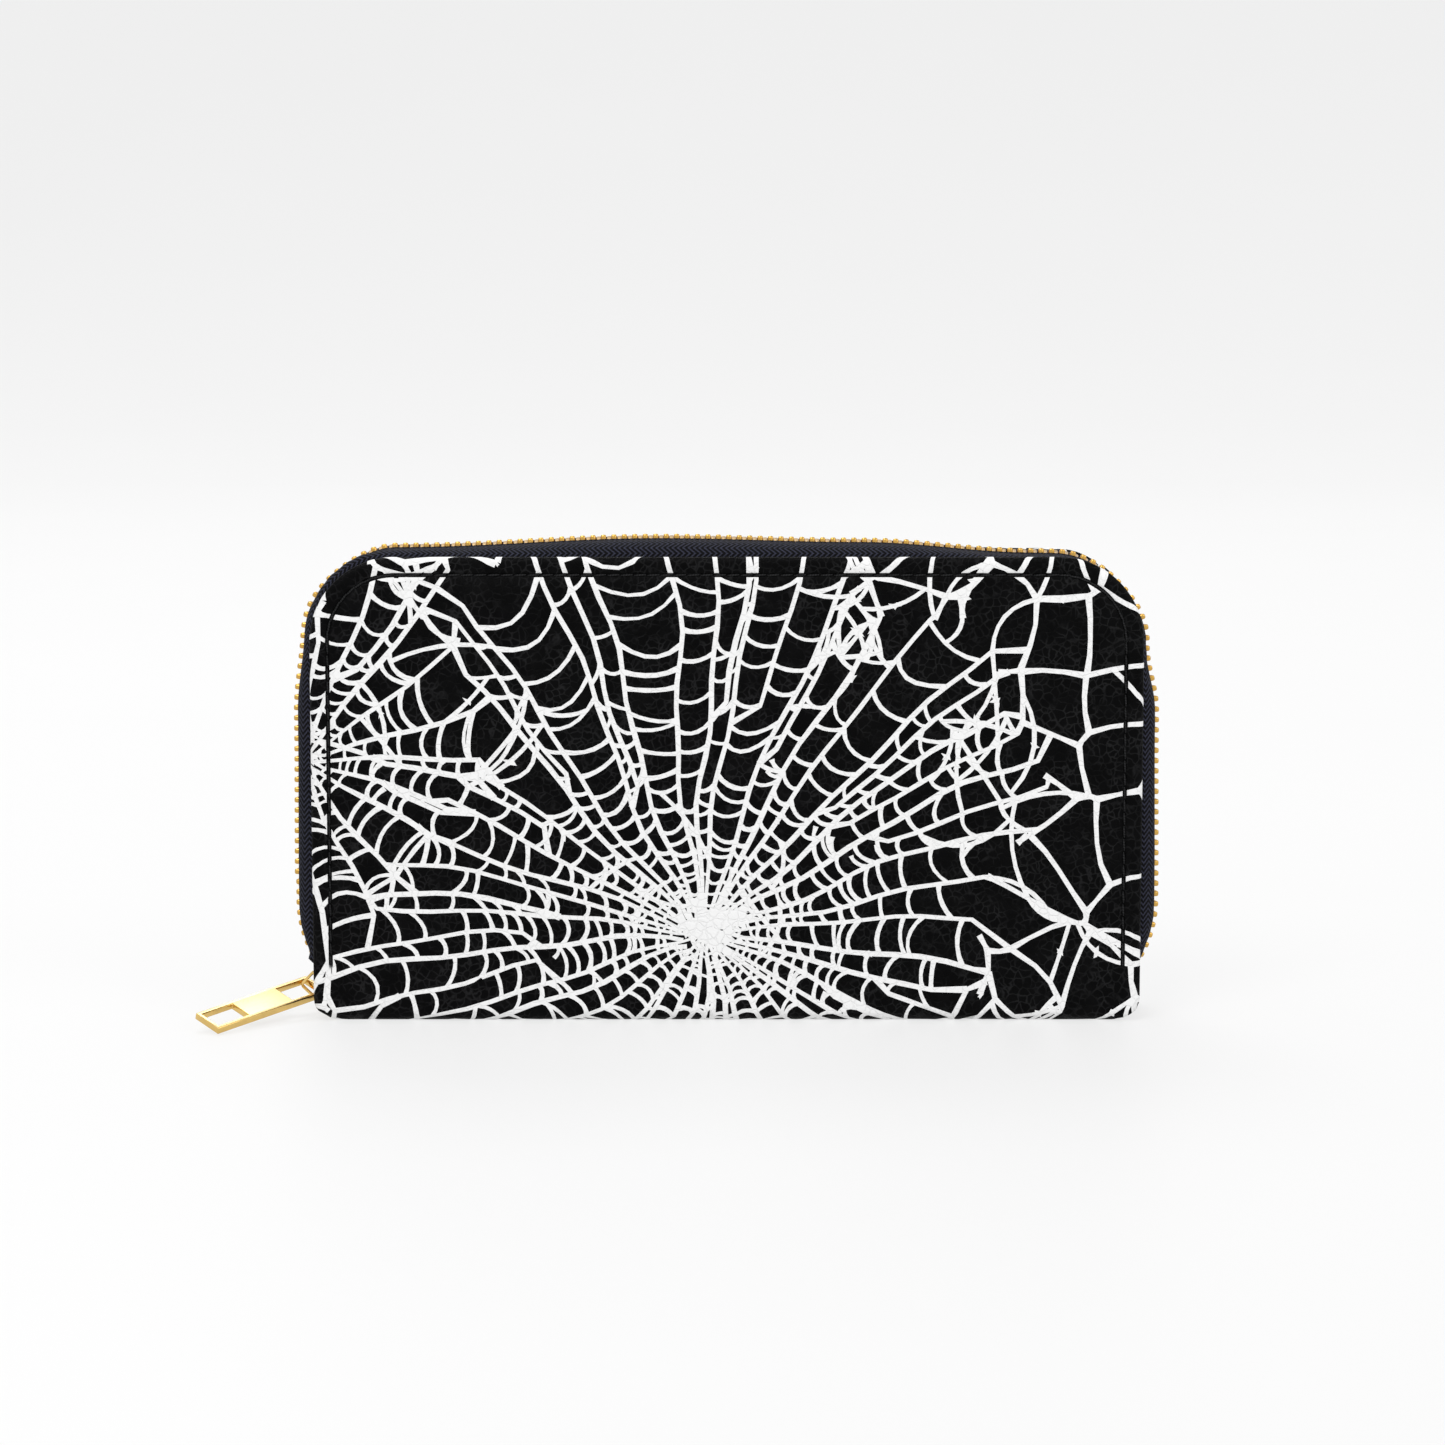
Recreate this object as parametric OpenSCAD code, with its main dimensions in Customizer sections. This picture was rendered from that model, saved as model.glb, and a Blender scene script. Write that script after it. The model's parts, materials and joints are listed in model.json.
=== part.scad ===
// Long zip-around wallet, closed and standing on its spine.
// +X is to the right along the spine, -Y is the front, +Z is up, millimetres.
// The origin is the middle of the flat underside of the spine.

/* [Covers] */
// Width of a cover
panel_w = 195; // [160:1:240]
// Height of a cover above the resting surface
panel_h = 110; // [90:1:135]
// Thickness of the closed wallet over both covers
wallet_t = 25; // [24:0.5:32]
// Radius of the two top corners
top_corner_r = 20; // [12:1:26]
// Radius of the two bottom corners
bottom_corner_r = 5.5; // [4:0.5:8]
// Outer radius of the fold from a cover into the spine
fold_r = 3; // [2.4:0.1:3.6]
// Thickness of the outer leather
leather_t = 1.2; // [0.9:0.1:1.4]
// Thickness of the turned-over leather edge, which is also that of the board
turn_t = 0.6; // [0.4:0.1:0.8]
// Width of the turned-over leather edge
turn_w = 8; // [7.5:0.5:11]

/* [Stitching] */
// Distance of the stitch line from the cover's edge
stitch_inset = 4.2; // [3:0.1:5.5]
// Length of one visible stitch
stitch_l = 2.4; // [1.5:0.1:3]
// Distance from one stitch to the next
stitch_pitch = 3.1; // [2.6:0.1:4.5]
// Width of the groove that the stitches lie in
groove_w = 0.9; // [0.7:0.1:1.4]
// Height at which the stitch lines end above the resting surface
stitch_foot = 13; // [10:0.5:20]

/* [Main zip] */
// Pitch of the teeth in one row
tooth_pitch = 2.45; // [2.2:0.05:3.2]
// Length of a tooth along the chain
tooth_l = 1.3; // [1:0.05:1.5]
// Height of a tooth, square to the tape
tooth_h = 2.5; // [2:0.1:3]
// Width of the closed chain
chain_w = 5.8; // [5:0.1:7]
// How far a tooth's nose reaches over the middle of the chain
nose_reach = 0.9; // [0.6:0.05:1.2]
// Thickness of the tape
tape_t = 0.5; // [0.4:0.05:0.6]
// How far the chain's middle stands out from the covers' side edges
side_bulge = 3.5; // [2:0.1:5]
// How far the chain's middle stands out from the covers' top edge at its highest
top_bulge = 3.1; // [2:0.1:4.5]
// How far the chain's middle stands out at the top corners
corner_bulge = 0.2; // [-0.8:0.1:1]
// How far the chain stands out at the other top corner
far_corner_bulge = -1.2; // [-1.6:0.1:1]
// Radius of the bend that tucks each end of the chain in at the foot
tuck_r = 26; // [25:1:32]
// Height at which that bend starts
tuck_top = 27; // [25:1:32]

/* [Main slider and pull] */
// Length of the slider
slider_l = 10; // [9.5:0.5:12]
// Height of the slider's middle above the resting surface
slider_z = 8.3; // [8.2:0.1:10]
// Thickness of each slider plate
slider_plate_t = 1; // [0.8:0.1:1.3]
// Clearance between the teeth and the slider's channel
slider_clear = 0.3; // [0.2:0.05:0.5]
// Inner height of the bridge that holds the pull
bridge_h = 4; // [4:0.1:4.6]
// Width of the bridge
bridge_w = 0.9; // [0.8:0.1:1]
// Inner length of the bridge
bridge_l = 7; // [7:0.1:7.6]
// Length of the pull
pull_l = 35; // [30:1:45]
// Width of the pull
pull_w = 8; // [8:0.1:10]
// Thickness of the pull
pull_t = 1.6; // [1.3:0.05:1.6]
// Width of the pull's rim around its windows
pull_rim = 1.1; // [0.9:0.05:1.1]
// Length of each window in the pull
window_l = 9.5; // [8:0.5:11]
// Turn of the pull about the vertical, from +X
pull_yaw = 228; // [222:0.5:228]
// Roll of the pull about its own length
pull_roll = -19.4; // [-23:0.1:-15]

/* [Inside] */
// Thickness of the lining cloth
lining_t = 0.4; // [0.3:0.05:0.5]
// Thickness of the card panel's backing
backing_t = 0.4; // [0.3:0.05:0.6]
// Thickness of one card tier
tier_t = 0.4; // [0.3:0.05:0.5]
// Number of card tiers on each side
tiers = 4; // [4]
// Step in height from one card tier to the next
tier_step = 10; // [7:0.5:12]
// Gap between neighbouring tiers
tier_gap = 0.1; // [0.05:0.05:0.2]
// Distance of the card panels' ends from the covers' ends
card_side = 12.5; // [12:0.5:25]
// Distance of the card panels' top from the covers' top
card_drop = 12; // [12:0.5:25]
// Distance of the coin pocket's ends from the covers' ends
coin_side = 13.5; // [13.5:0.5:25]
// Distance of the coin pocket's walls from the covers' top
coin_drop = 20; // [20:0.5:30]
// Inside thickness of the coin pocket
coin_gap = 4.8; // [4.6:0.1:6]
// Thickness of a coin pocket wall
coin_wall_t = 0.8; // [0.6:0.1:1]
// Height of the coin zip's tape above the walls
coin_tape_h = 7; // [5:0.5:9]
// Pitch of the coin zip's teeth in one row
coin_pitch = 2.2; // [2:0.1:3]
// Length of the coin zip's slider
coin_slider_l = 8; // [7:0.5:10]
// Length of the coin zip's pull
coin_pull_l = 14; // [10:1:16]
// Depth of a gusset's fold, inwards from the ends
gusset_fold = 11; // [7:0.5:14]

/* [Hidden] */
$fn = 64;

LEATHER = "#141416";
CLOTH = "#1b1b1f";
BOARD = "#8c8371";
TAPE = "#15171f";
GOLD = "#c8a048";
THREAD = "#0c0c0d";

// Layers from the outside in, as distances from the middle plane.
face_y = wallet_t / 2;
card_w = panel_w - 2 * card_side;
card_top = panel_h - card_drop;
coin_w = panel_w - 2 * coin_side;
coin_top = panel_h - coin_drop;
turn_y = face_y - leather_t;
board_y = turn_y - turn_t;
lining_y = board_y - lining_t;
backing_y = lining_y - backing_t;
coin_y = coin_gap / 2;
coin_face_y = coin_y + coin_wall_t;
function tier_y(i) = backing_y - i * (tier_t + tier_gap);
gusset_clear = 0.2;
bill_y = tier_y(tiers) - gusset_clear;

// The cover hinge lies in the fold, in the middle of the leather.
hinge_y = face_y - leather_t / 2;
hinge_z = fold_r;
fold_gap = 0.3;
cover_foot = hinge_z + fold_gap;
spine_head = hinge_z - fold_gap;
inner_foot = cover_foot + 1.7;
board_gap = 0.2;
lining_inset = turn_w - 1;
groove_d = 0.5;
spine_inner_inset = 9.5;

// The outline of a cover as a run from the left foot, over the top, to the right foot.
run_foot = 2.5;
side_run = panel_h - top_corner_r - run_foot;
arc_run = top_corner_r * PI / 2;
top_run = panel_w - 2 * top_corner_r;
whole_run = 2 * side_run + 2 * arc_run + top_run;
deg = 180 / PI;
corner_x = panel_w / 2 - top_corner_r;
corner_z = panel_h - top_corner_r;

// Outward angle of the outline at a run.
function side_angle(s) =
    s < side_run ? 180
    : s < side_run + arc_run ? 180 - (s - side_run) / top_corner_r * deg
    : s < side_run + arc_run + top_run ? 90
    : s < side_run + 2 * arc_run + top_run ?
        90 - (s - side_run - arc_run - top_run) / top_corner_r * deg
    : 0;
function corner_point(side, a) =
    [side * corner_x + top_corner_r * cos(a), corner_z + top_corner_r * sin(a)];
function outline_point(s) =
    s < side_run ? [-panel_w / 2, run_foot + s]
    : s < side_run + arc_run ? corner_point(-1, side_angle(s))
    : s < side_run + arc_run + top_run ? [s - side_run - arc_run - corner_x, panel_h]
    : s < side_run + 2 * arc_run + top_run ? corner_point(1, side_angle(s))
    : [panel_w / 2, run_foot + whole_run - s];
function beside(s, out) =
    let (a = side_angle(s)) outline_point(s) + out * [cos(a), sin(a)];

// How far the chain stands out along the run, eased between a few stations.
top_start = side_run + arc_run;
bulge_stations = [
    [tuck_top - run_foot, side_bulge],
    [side_run * 0.8, side_bulge - 0.3],
    [side_run + arc_run * 0.1, corner_bulge + 1.2],
    [side_run + arc_run * 0.6, corner_bulge],
    [top_start, corner_bulge + 0.8],
    [top_start + top_run * 0.4, top_bulge],
    [top_start + top_run * 0.7, top_bulge - 0.9],
    [top_start + top_run * 0.97, far_corner_bulge + 0.9],
    [whole_run - side_run - arc_run * 0.5, far_corner_bulge],
    [whole_run - side_run + arc_run * 0.05, far_corner_bulge + 1.9],
    [whole_run - side_run * 0.8, side_bulge - 0.4],
    [whole_run - tuck_top + run_foot, side_bulge],
];
function eased(t) = (1 - cos(180 * min(1, max(0, t)))) / 2;
function between(s, k, i) =
    k[i][1] + (k[i + 1][1] - k[i][1]) * eased((s - k[i][0]) / (k[i + 1][0] - k[i][0]));
function station_value(s, k, i = 0) =
    i >= len(k) - 2 || s < k[i + 1][0] ? between(s, k, i) : station_value(s, k, i + 1);
function tuck(z) = z >= tuck_top ? 0 : tuck_r - sqrt(tuck_r ^ 2 - (tuck_top - z) ^ 2);
function bulge(s) = station_value(s, bulge_stations) - tuck(outline_point(s)[1]);
function chain_point(s) = beside(s, bulge(s));

// True length along the chain, so that the teeth keep one pitch.
chain_steps = 360;
chain_runs = [for (i = [0 : chain_steps]) whole_run * i / chain_steps];
chain_points = [for (s = chain_runs) chain_point(s)];
chain_lengths = [
    for (i = 0, l = 0; i <= chain_steps;
        l = l + (i < chain_steps ? norm(chain_points[i + 1] - chain_points[i]) : 0), i = i + 1) l
];
length_to_run = [for (i = [0 : chain_steps]) [chain_lengths[i], chain_runs[i]]];
run_to_length = [for (i = [0 : chain_steps]) [chain_runs[i], chain_lengths[i]]];
function run_at(l) = lookup(l, length_to_run);
function length_at(s) = lookup(s, run_to_length);
chain_length = chain_lengths[chain_steps];

// Where things sit along the chain.
slider_at = length_at(slider_z - run_foot);
slider_turn = asin((tuck_top - slider_z) / tuck_r);
foot_end = length_at(tuck_top - run_foot) + slider_l / 2 + 1;
back_teeth_start = slider_at - 1.6;
front_teeth_start = slider_at + slider_l / 2 + tooth_l;
bottom_stop_at = chain_length - slider_at - 1;
teeth_end = bottom_stop_at - 3.5;
first_tooth = ceil(back_teeth_start / tooth_pitch);
last_tooth = floor(teeth_end / tooth_pitch);

// Puts its children on the chain: X along it, Z outwards.
module on_chain(l) {
    s = run_at(l);
    step = 0.5;
    p = chain_point(s);
    t = chain_point(s + step) - chain_point(s - step);
    translate([p[0], 0, p[1]]) rotate([0, -atan2(t[1], t[0]), 0]) children();
}

// The foot arc's own frame, which the slider travels in.
module on_foot(back_step = 0) {
    c = [-panel_w / 2 - side_bulge + tuck_r, tuck_top];
    translate([c[0], 0, c[1]])
        rotate([0, -slider_turn - back_step / tuck_r * deg, 0])
            translate([-tuck_r, 0, 0]) rotate([0, -90, 0]) children();
}

// An upright slab of a 2-D outline, from y0 towards the back.
module upright(y0, t) {
    translate([0, y0 + t, 0]) rotate([90, 0, 0]) linear_extrude(t) children();
}

module sheet_2d(w, z0, z1, r_top, r_foot) {
    translate([-w / 2, z0 + r_foot]) square([w, z1 - z0 - r_top - r_foot]);
    translate([-w / 2 + r_top, z1 - r_top]) square([w - 2 * r_top, r_top]);
    translate([-w / 2 + r_foot, z0]) square([w - 2 * r_foot, r_foot]);
    for (side = [-1, 1]) {
        translate([side * (w / 2 - r_top), z1 - r_top]) circle(r_top);
        translate([side * (w / 2 - r_foot), z0 + r_foot]) circle(r_foot);
    }
}

module cover_2d(inset = 0) {
    sheet_2d(panel_w - 2 * inset, inset, panel_h - inset,
        top_corner_r - inset, max(bottom_corner_r - inset, 1));
}

module above(z) {
    intersection() {
        children();
        translate([-panel_w, z]) square([2 * panel_w, 2 * panel_h]);
    }
}

module half_cover() {
    difference() {
        upright(-face_y, leather_t) above(cover_foot) cover_2d();
        upright(-face_y - 1, 1 + groove_d) above(stitch_foot) difference() {
            cover_2d(stitch_inset - groove_w / 2);
            cover_2d(stitch_inset + groove_w / 2);
        }
    }
    upright(-turn_y, turn_t) above(cover_foot) difference() {
        cover_2d(0.4);
        cover_2d(turn_w);
    }
}

module half_board() {
    color(BOARD) upright(-turn_y, turn_t) cover_2d(turn_w + board_gap);
}

module half_lining() {
    color(CLOTH) upright(-board_y, lining_t) above(inner_foot) cover_2d(lining_inset);
}

// The stitches follow the cover's outline at their inset.
stitch_from = stitch_foot - run_foot + stitch_l / 2;
stitch_count = floor((whole_run - 2 * stitch_from) / stitch_pitch);
stitch_step = (whole_run - 2 * stitch_from) / stitch_count;
stitch_h = groove_d - 0.1;
stitch_w = groove_w - 0.3;
module half_stitching() {
    color(THREAD)
    for (i = [0 : stitch_count]) {
        s = stitch_from + i * stitch_step;
        p = beside(s, -stitch_inset);
        translate([p[0], -face_y + groove_d - stitch_h, p[1]])
            rotate([0, 90 - side_angle(s), 0])
                translate([-stitch_l / 2, 0, -stitch_w / 2]) cube([stitch_l, stitch_h, stitch_w]);
    }
}

// The fold and the flat underside, cut to the covers' bottom corners.
module spine_profile() {
    difference() {
        union() {
            translate([-face_y, fold_r]) square([2 * face_y, spine_head]);
            translate([-face_y + fold_r, 0]) square([2 * (face_y - fold_r), fold_r]);
            for (side = [-1, 1]) translate([side * (face_y - fold_r), fold_r]) circle(fold_r);
        }
        translate([-turn_y, fold_r]) square([2 * turn_y, panel_h]);
        translate([-face_y + fold_r, leather_t]) square([2 * (face_y - fold_r), panel_h]);
        for (side = [-1, 1])
            translate([side * (face_y - fold_r), fold_r]) circle(fold_r - leather_t);
        translate([-panel_w, spine_head]) square([2 * panel_w, panel_h]);
    }
}

module spine_cover() {
    color(LEATHER) intersection() {
        rotate([90, 0, 90]) linear_extrude(panel_w + 2, center = true) spine_profile();
        upright(-face_y - 1, wallet_t + 2) cover_2d();
    }
}

spine_pack_w = panel_w - 2 * spine_inner_inset;
spine_pack_t = 2 * (face_y - fold_r) - 0.4;
spine_board_t = 0.6;
module spine_board() {
    color(BOARD) translate([-spine_pack_w / 2, -spine_pack_t / 2, leather_t])
        cube([spine_pack_w, spine_pack_t, spine_board_t]);
}

module spine_lining() {
    color(CLOTH) translate([-spine_pack_w / 2, -spine_pack_t / 2, leather_t + spine_board_t])
        cube([spine_pack_w, spine_pack_t, lining_t]);
}

// The tape's section at a run: [distance from the middle plane, distance out of the edge].
tape_edge = chain_w / 2 + 0.05;
tape_flat = 5.4;
flange_w = 5.2;
tape_y = board_y - tape_t / 2;
function tape_turn(b) = b < 0 ? 0.6 * b - 1 : -1;
function tape_mid(b) =
    let (e = tape_turn(b))
    [
        [tape_y, max(e - flange_w, 0.4 - lining_inset)],
        [tape_y, e],
        [tape_y - 0.45, e + 0.35 * (b - e)],
        [tape_y - 2.3, e + 0.8 * (b - e)],
        [tape_flat, b],
        [tape_edge, b],
    ];
function left_of(v) = [v[1], -v[0]] / norm(v);
function mid_normal(m, i) =
    let (
        a = i > 0 ? left_of(m[i] - m[i - 1]) : [0, 0],
        c = i < len(m) - 1 ? left_of(m[i + 1] - m[i]) : [0, 0],
        n = a + c
    ) n / norm(n);
function tape_ring(s) =
    let (
        m = tape_mid(bulge(s)),
        n = len(m) - 1,
        outer = [for (i = [0 : n]) m[i] + mid_normal(m, i) * tape_t / 2],
        inner = [for (i = [n : -1 : 0]) m[i] - mid_normal(m, i) * tape_t / 2]
    )
    [for (q = concat(outer, inner)) let (p = beside(s, q[1])) [p[0], -q[0], p[1]]];

tape_low = inner_foot - run_foot;
tape_runs = concat(
    [for (i = [0 : 9]) tape_low + (tuck_top - run_foot - tape_low) * i / 10],
    [for (i = [0 : 9]) tuck_top - run_foot + (side_run - tuck_top + run_foot) * i / 10],
    [for (i = [0 : 8]) side_run + arc_run * i / 9],
    [for (i = [0 : 20]) top_start + top_run * i / 21],
    [for (i = [0 : 8]) whole_run - side_run - arc_run + arc_run * i / 9],
    [for (i = [0 : 9]) whole_run - side_run + (side_run - tuck_top + run_foot) * i / 10],
    [for (i = [0 : 10]) whole_run - tuck_top + run_foot + (tuck_top - run_foot - tape_low) * i / 10]
);
module half_tape() {
    rings = [for (s = tape_runs) tape_ring(s)];
    n = len(rings[0]);
    m = len(rings);
    polyhedron(
        points = [for (r = rings) each r],
        faces = concat(
            [for (j = [0 : m - 2], i = [0 : n - 1])
                [j * n + i, j * n + (i + 1) % n, (j + 1) * n + (i + 1) % n, (j + 1) * n + i]],
            [for (i = [0 : n / 2 - 2]) [i, n - 1 - i, n - 2 - i, i + 1]],
            [for (i = [0 : n / 2 - 2])
                let (k = (m - 1) * n) [k + i, k + i + 1, k + n - 2 - i, k + n - 1 - i]]
        ),
        convexity = 6
    );
}

// One tooth of the front row: a wide heel on the tape, a narrow nose over the middle.
nose_l = tooth_l * 0.65;
module tooth() {
    heel = tooth_l / 2;
    nose = nose_l / 2;
    neck = -nose_reach - 0.1;
    linear_extrude(tooth_h, center = true) polygon([
        [-heel, -chain_w / 2], [heel, -chain_w / 2], [heel, neck], [nose, neck + 0.2],
        [nose, nose_reach], [-nose, nose_reach], [-nose, neck + 0.2], [-heel, neck],
    ]);
}

// The back row stands half a pitch along from the front row.
module teeth_row(back, from, to) {
    for (i = [first_tooth : last_tooth]) {
        l = (i + (back ? 0.5 : 0)) * tooth_pitch;
        if (l >= from && l < to) on_chain(l) mirror([0, back ? 1 : 0, 0]) tooth();
    }
}

stop_l = 2.4;
module top_stop() {
    on_foot(slider_l / 2 + stop_l / 2 + 0.5)
        translate([-stop_l / 2, -chain_w / 2, -tooth_h / 2 + 0.2])
            cube([stop_l, chain_w / 2 - 0.8, tooth_h - 0.4]);
}

module zip_bottom_stop() {
    stop_w = chain_w - 0.2;
    color(GOLD) on_chain(bottom_stop_at) difference() {
        translate([-2, -stop_w / 2, -tooth_h / 2 - 0.2]) cube([4, stop_w, tooth_h + 0.4]);
        for (side = [-1, 1]) translate([0, side * stop_w / 2, 0])
            cube([5, 1, tape_t + 0.1], center = true);
    }
}

// The slider: two plates joined by a post, with flanges that keep the teeth in.
bend_room = slider_l ^ 2 / (8 * tuck_r);
channel_h = tooth_h / 2 + slider_clear / 2 + bend_room;
slider_top = channel_h + slider_plate_t;
channel_w = chain_w / 2 + slider_clear;
flange_t = 0.8;
slot_h = tape_t + 0.5 + 2 * bend_room;
module slider_plate_2d() {
    nose_w = channel_w + flange_t;
    tail_w = nose_w - 0.5;
    shoulder = slider_l * 0.15;
    polygon([
        [-slider_l / 2, -1.2], [-slider_l / 2 + 1.2, -nose_w], [shoulder, -nose_w],
        [slider_l / 2 - 0.6, -tail_w], [slider_l / 2, -tail_w + 0.6],
        [slider_l / 2, tail_w - 0.6], [slider_l / 2 - 0.6, tail_w], [shoulder, nose_w],
        [-slider_l / 2 + 1.2, nose_w], [-slider_l / 2, 1.2],
    ]);
}

post_l = 1.6;
post_w = 1.4;
module zip_slider_body() {
    color(GOLD) on_foot() {
        for (side = [0, 1]) mirror([0, 0, side]) {
            translate([0, 0, channel_h]) linear_extrude(slider_plate_t) slider_plate_2d();
            translate([0, 0, slot_h / 2]) linear_extrude(channel_h - slot_h / 2) difference() {
                slider_plate_2d();
                square([slider_l + 2, 2 * channel_w], center = true);
            }
        }
        translate([-slider_l / 2 + 0.9, -post_w / 2, -channel_h - 0.1])
            cube([post_l, post_w, 2 * channel_h + 0.2]);
    }
}

bridge_t = 0.7;
bridge_shift = 1;
module zip_slider_bridge() {
    outer_l = bridge_l + 2 * bridge_t;
    outer_h = bridge_h + bridge_t;
    corner = 1.2;
    color(GOLD) on_foot() translate([bridge_shift, bridge_w / 2, slider_top]) rotate([90, 0, 0])
        linear_extrude(bridge_w) difference() {
            union() {
                translate([-outer_l / 2, 0]) square([outer_l, outer_h - corner]);
                translate([-outer_l / 2 + corner, 0]) square([outer_l - 2 * corner, outer_h]);
                for (side = [-1, 1])
                    translate([side * (outer_l / 2 - corner), outer_h - corner]) circle(corner);
            }
            translate([-bridge_l / 2, -1]) square([bridge_l, bridge_h + 1]);
        }
}

// The pull turns about the rim that lies under the bridge; its tip rests on the surface.
axis_out = slider_top + 0.6 * bridge_h;
axis_up = bridge_shift + 1.2;
axis_x = -panel_w / 2 - side_bulge + tuck_r - (tuck_r + axis_out) * cos(slider_turn)
    - axis_up * sin(slider_turn);
axis_z = tuck_top - (tuck_r + axis_out) * sin(slider_turn) + axis_up * cos(slider_turn);
tip_reach = pull_l - pull_rim / 2;
tip_clear = 0.05;
tip_drop = axis_z - tip_clear - pull_w / 2 * sin(-pull_roll) - pull_t / 2 * cos(pull_roll);
pull_dip = asin(tip_drop / tip_reach);
module zip_pull() {
    window_w = pull_w - 2 * pull_rim;
    color(GOLD) translate([axis_x, 0, axis_z]) rotate([0, 0, pull_yaw]) rotate([0, pull_dip, 0])
        rotate([pull_roll, 0, 0]) translate([0, 0, -pull_t / 2]) linear_extrude(pull_t)
            difference() {
                translate([-pull_rim / 2, -pull_w / 2]) square([pull_l, pull_w]);
                for (x = [pull_rim / 2, pull_l - 1.5 * pull_rim - window_l])
                    translate([x, -window_w / 2]) square([window_l, window_w]);
            }
}

// A gusset is one fold of cloth between a card panel and the coin pocket.
gusset_t = 0.4;
gusset_end = card_w / 2 + 3;
module gusset(side) {
    y_out = bill_y - gusset_t / 2;
    y_in = coin_face_y + gusset_clear + gusset_t / 2;
    y_mid = (y_out + y_in) / 2;
    apex = gusset_end - gusset_fold;
    color(CLOTH) translate([0, 0, inner_foot]) linear_extrude(coin_top - inner_foot)
        polygon([
            [side * gusset_end, -y_out - gusset_t / 2], [side * apex, -y_mid - gusset_t / 2],
            [side * (apex - gusset_t), -y_mid],
            [side * apex, -y_mid + gusset_t / 2], [side * gusset_end, -y_in + gusset_t / 2],
            [side * gusset_end, -y_in - gusset_t / 2],
            [side * (apex + 3 * gusset_t), -y_mid],
            [side * gusset_end, -y_out + gusset_t / 2],
        ]);
}

coin_foot = leather_t + spine_board_t + lining_t + 0.05;
coin_base_t = 0.6;
module coin_wall() {
    color(CLOTH) upright(-coin_face_y, coin_wall_t)
        sheet_2d(coin_w, coin_foot, coin_top, 3, 1);
}

module coin_pocket_base() {
    color(CLOTH) translate([-coin_w / 2 + 1, -coin_y, coin_foot])
        cube([coin_w - 2, 2 * coin_y, coin_base_t]);
}

// The coin zip's tapes lean from the walls to the chain over the middle.
coin_chain_w = 4;
coin_tooth_h = 2;
coin_tooth_l = 1.15;
coin_nose = 0.6;
coin_tape_t = 0.4;
coin_chain_z = coin_top + coin_tape_h;
coin_tape_x = coin_w / 2 - 4;
module coin_half_tape() {
    foot_y = coin_face_y - coin_tape_t;
    head_y = coin_chain_w / 2 - 0.5;
    low = coin_top + 0.02;
    high = coin_chain_z - coin_tooth_h / 2 - 0.02;
    color(TAPE) rotate([90, 0, 90]) linear_extrude(2 * coin_tape_x, center = true) polygon([
        [-foot_y - coin_tape_t, low], [-foot_y, low], [-foot_y, low + 1],
        [-head_y + coin_tape_t, high], [-head_y - coin_tape_t / 2, high],
        [-foot_y - coin_tape_t, low + 1.2],
    ]);
}

coin_teeth_x = coin_tape_x - 4;
coin_count = floor(2 * coin_teeth_x / coin_pitch);
module coin_teeth(back) {
    heel = coin_tooth_l / 2;
    nose = heel * 0.65;
    color(GOLD)
    for (i = [0 : coin_count - 1])
        translate([-coin_teeth_x + (i + (back ? 1 : 0.5)) * coin_pitch, 0, coin_chain_z])
            mirror([0, back ? 1 : 0, 0]) linear_extrude(coin_tooth_h, center = true) polygon([
                [-heel, -coin_chain_w / 2], [heel, -coin_chain_w / 2], [heel, -coin_nose - 0.1],
                [nose, -coin_nose + 0.1], [nose, coin_nose], [-nose, coin_nose],
                [-nose, -coin_nose + 0.1], [-heel, -coin_nose - 0.1],
            ]);
}

module coin_stops() {
    color(GOLD) for (side = [-1, 1])
        translate([side * (coin_teeth_x + 2.2), 0, coin_chain_z - 0.3])
            cube([1.6, coin_chain_w - 0.4, coin_tooth_h - 0.6], center = true);
}

coin_slider_x = -coin_teeth_x + coin_slider_l / 2 + 0.5;
coin_travel = 2 * coin_teeth_x - coin_slider_l - 1;
coin_plate_t = 0.7;
coin_channel_h = coin_tooth_h / 2 + 0.25;
coin_channel_w = coin_chain_w / 2 + 0.25;
module coin_slider_body() {
    flange = 0.7;
    color(GOLD) translate([coin_slider_x, 0, coin_chain_z]) rotate([90, 0, 90])
        linear_extrude(coin_slider_l, center = true) {
            translate([-coin_channel_w - flange, coin_channel_h])
                square([2 * (coin_channel_w + flange), coin_plate_t]);
            for (side = [-1, 1])
                translate([side * (coin_channel_w + flange / 2), coin_channel_h - 0.9])
                    square([flange, 2], center = true);
        }
}

coin_bridge_h = 1.5;
coin_bridge_t = 0.6;
coin_bridge_l = 3.4;
module coin_slider_bridge() {
    outer_l = coin_bridge_l + 2 * coin_bridge_t;
    color(GOLD) translate([coin_slider_x, 0.7, coin_chain_z + coin_channel_h + coin_plate_t])
        rotate([90, 0, 0]) linear_extrude(1.4) difference() {
            translate([-outer_l / 2, 0]) square([outer_l, coin_bridge_h + coin_bridge_t]);
            translate([-coin_bridge_l / 2, -1]) square([coin_bridge_l, coin_bridge_h + 1]);
        }
}

coin_pull_w = 4.5;
coin_pull_t = 0.9;
coin_pull_rim = 0.9;
coin_axis_z = coin_chain_z + coin_channel_h + coin_plate_t + coin_bridge_h / 2;
module coin_pull() {
    color(GOLD) translate([coin_slider_x, 0, coin_axis_z - coin_pull_t / 2])
        linear_extrude(coin_pull_t) difference() {
            translate([-coin_pull_rim / 2, -coin_pull_w / 2]) square([coin_pull_l, coin_pull_w]);
            translate([coin_pull_rim / 2, -coin_pull_w / 2 + coin_pull_rim])
                square([4.5, coin_pull_w - 2 * coin_pull_rim]);
            translate([coin_pull_l - 4, 0]) circle(1);
        }
}

module card_backing() {
    color(CLOTH) upright(-lining_y, backing_t) sheet_2d(card_w, inner_foot, card_top, 4, 1);
}

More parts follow.
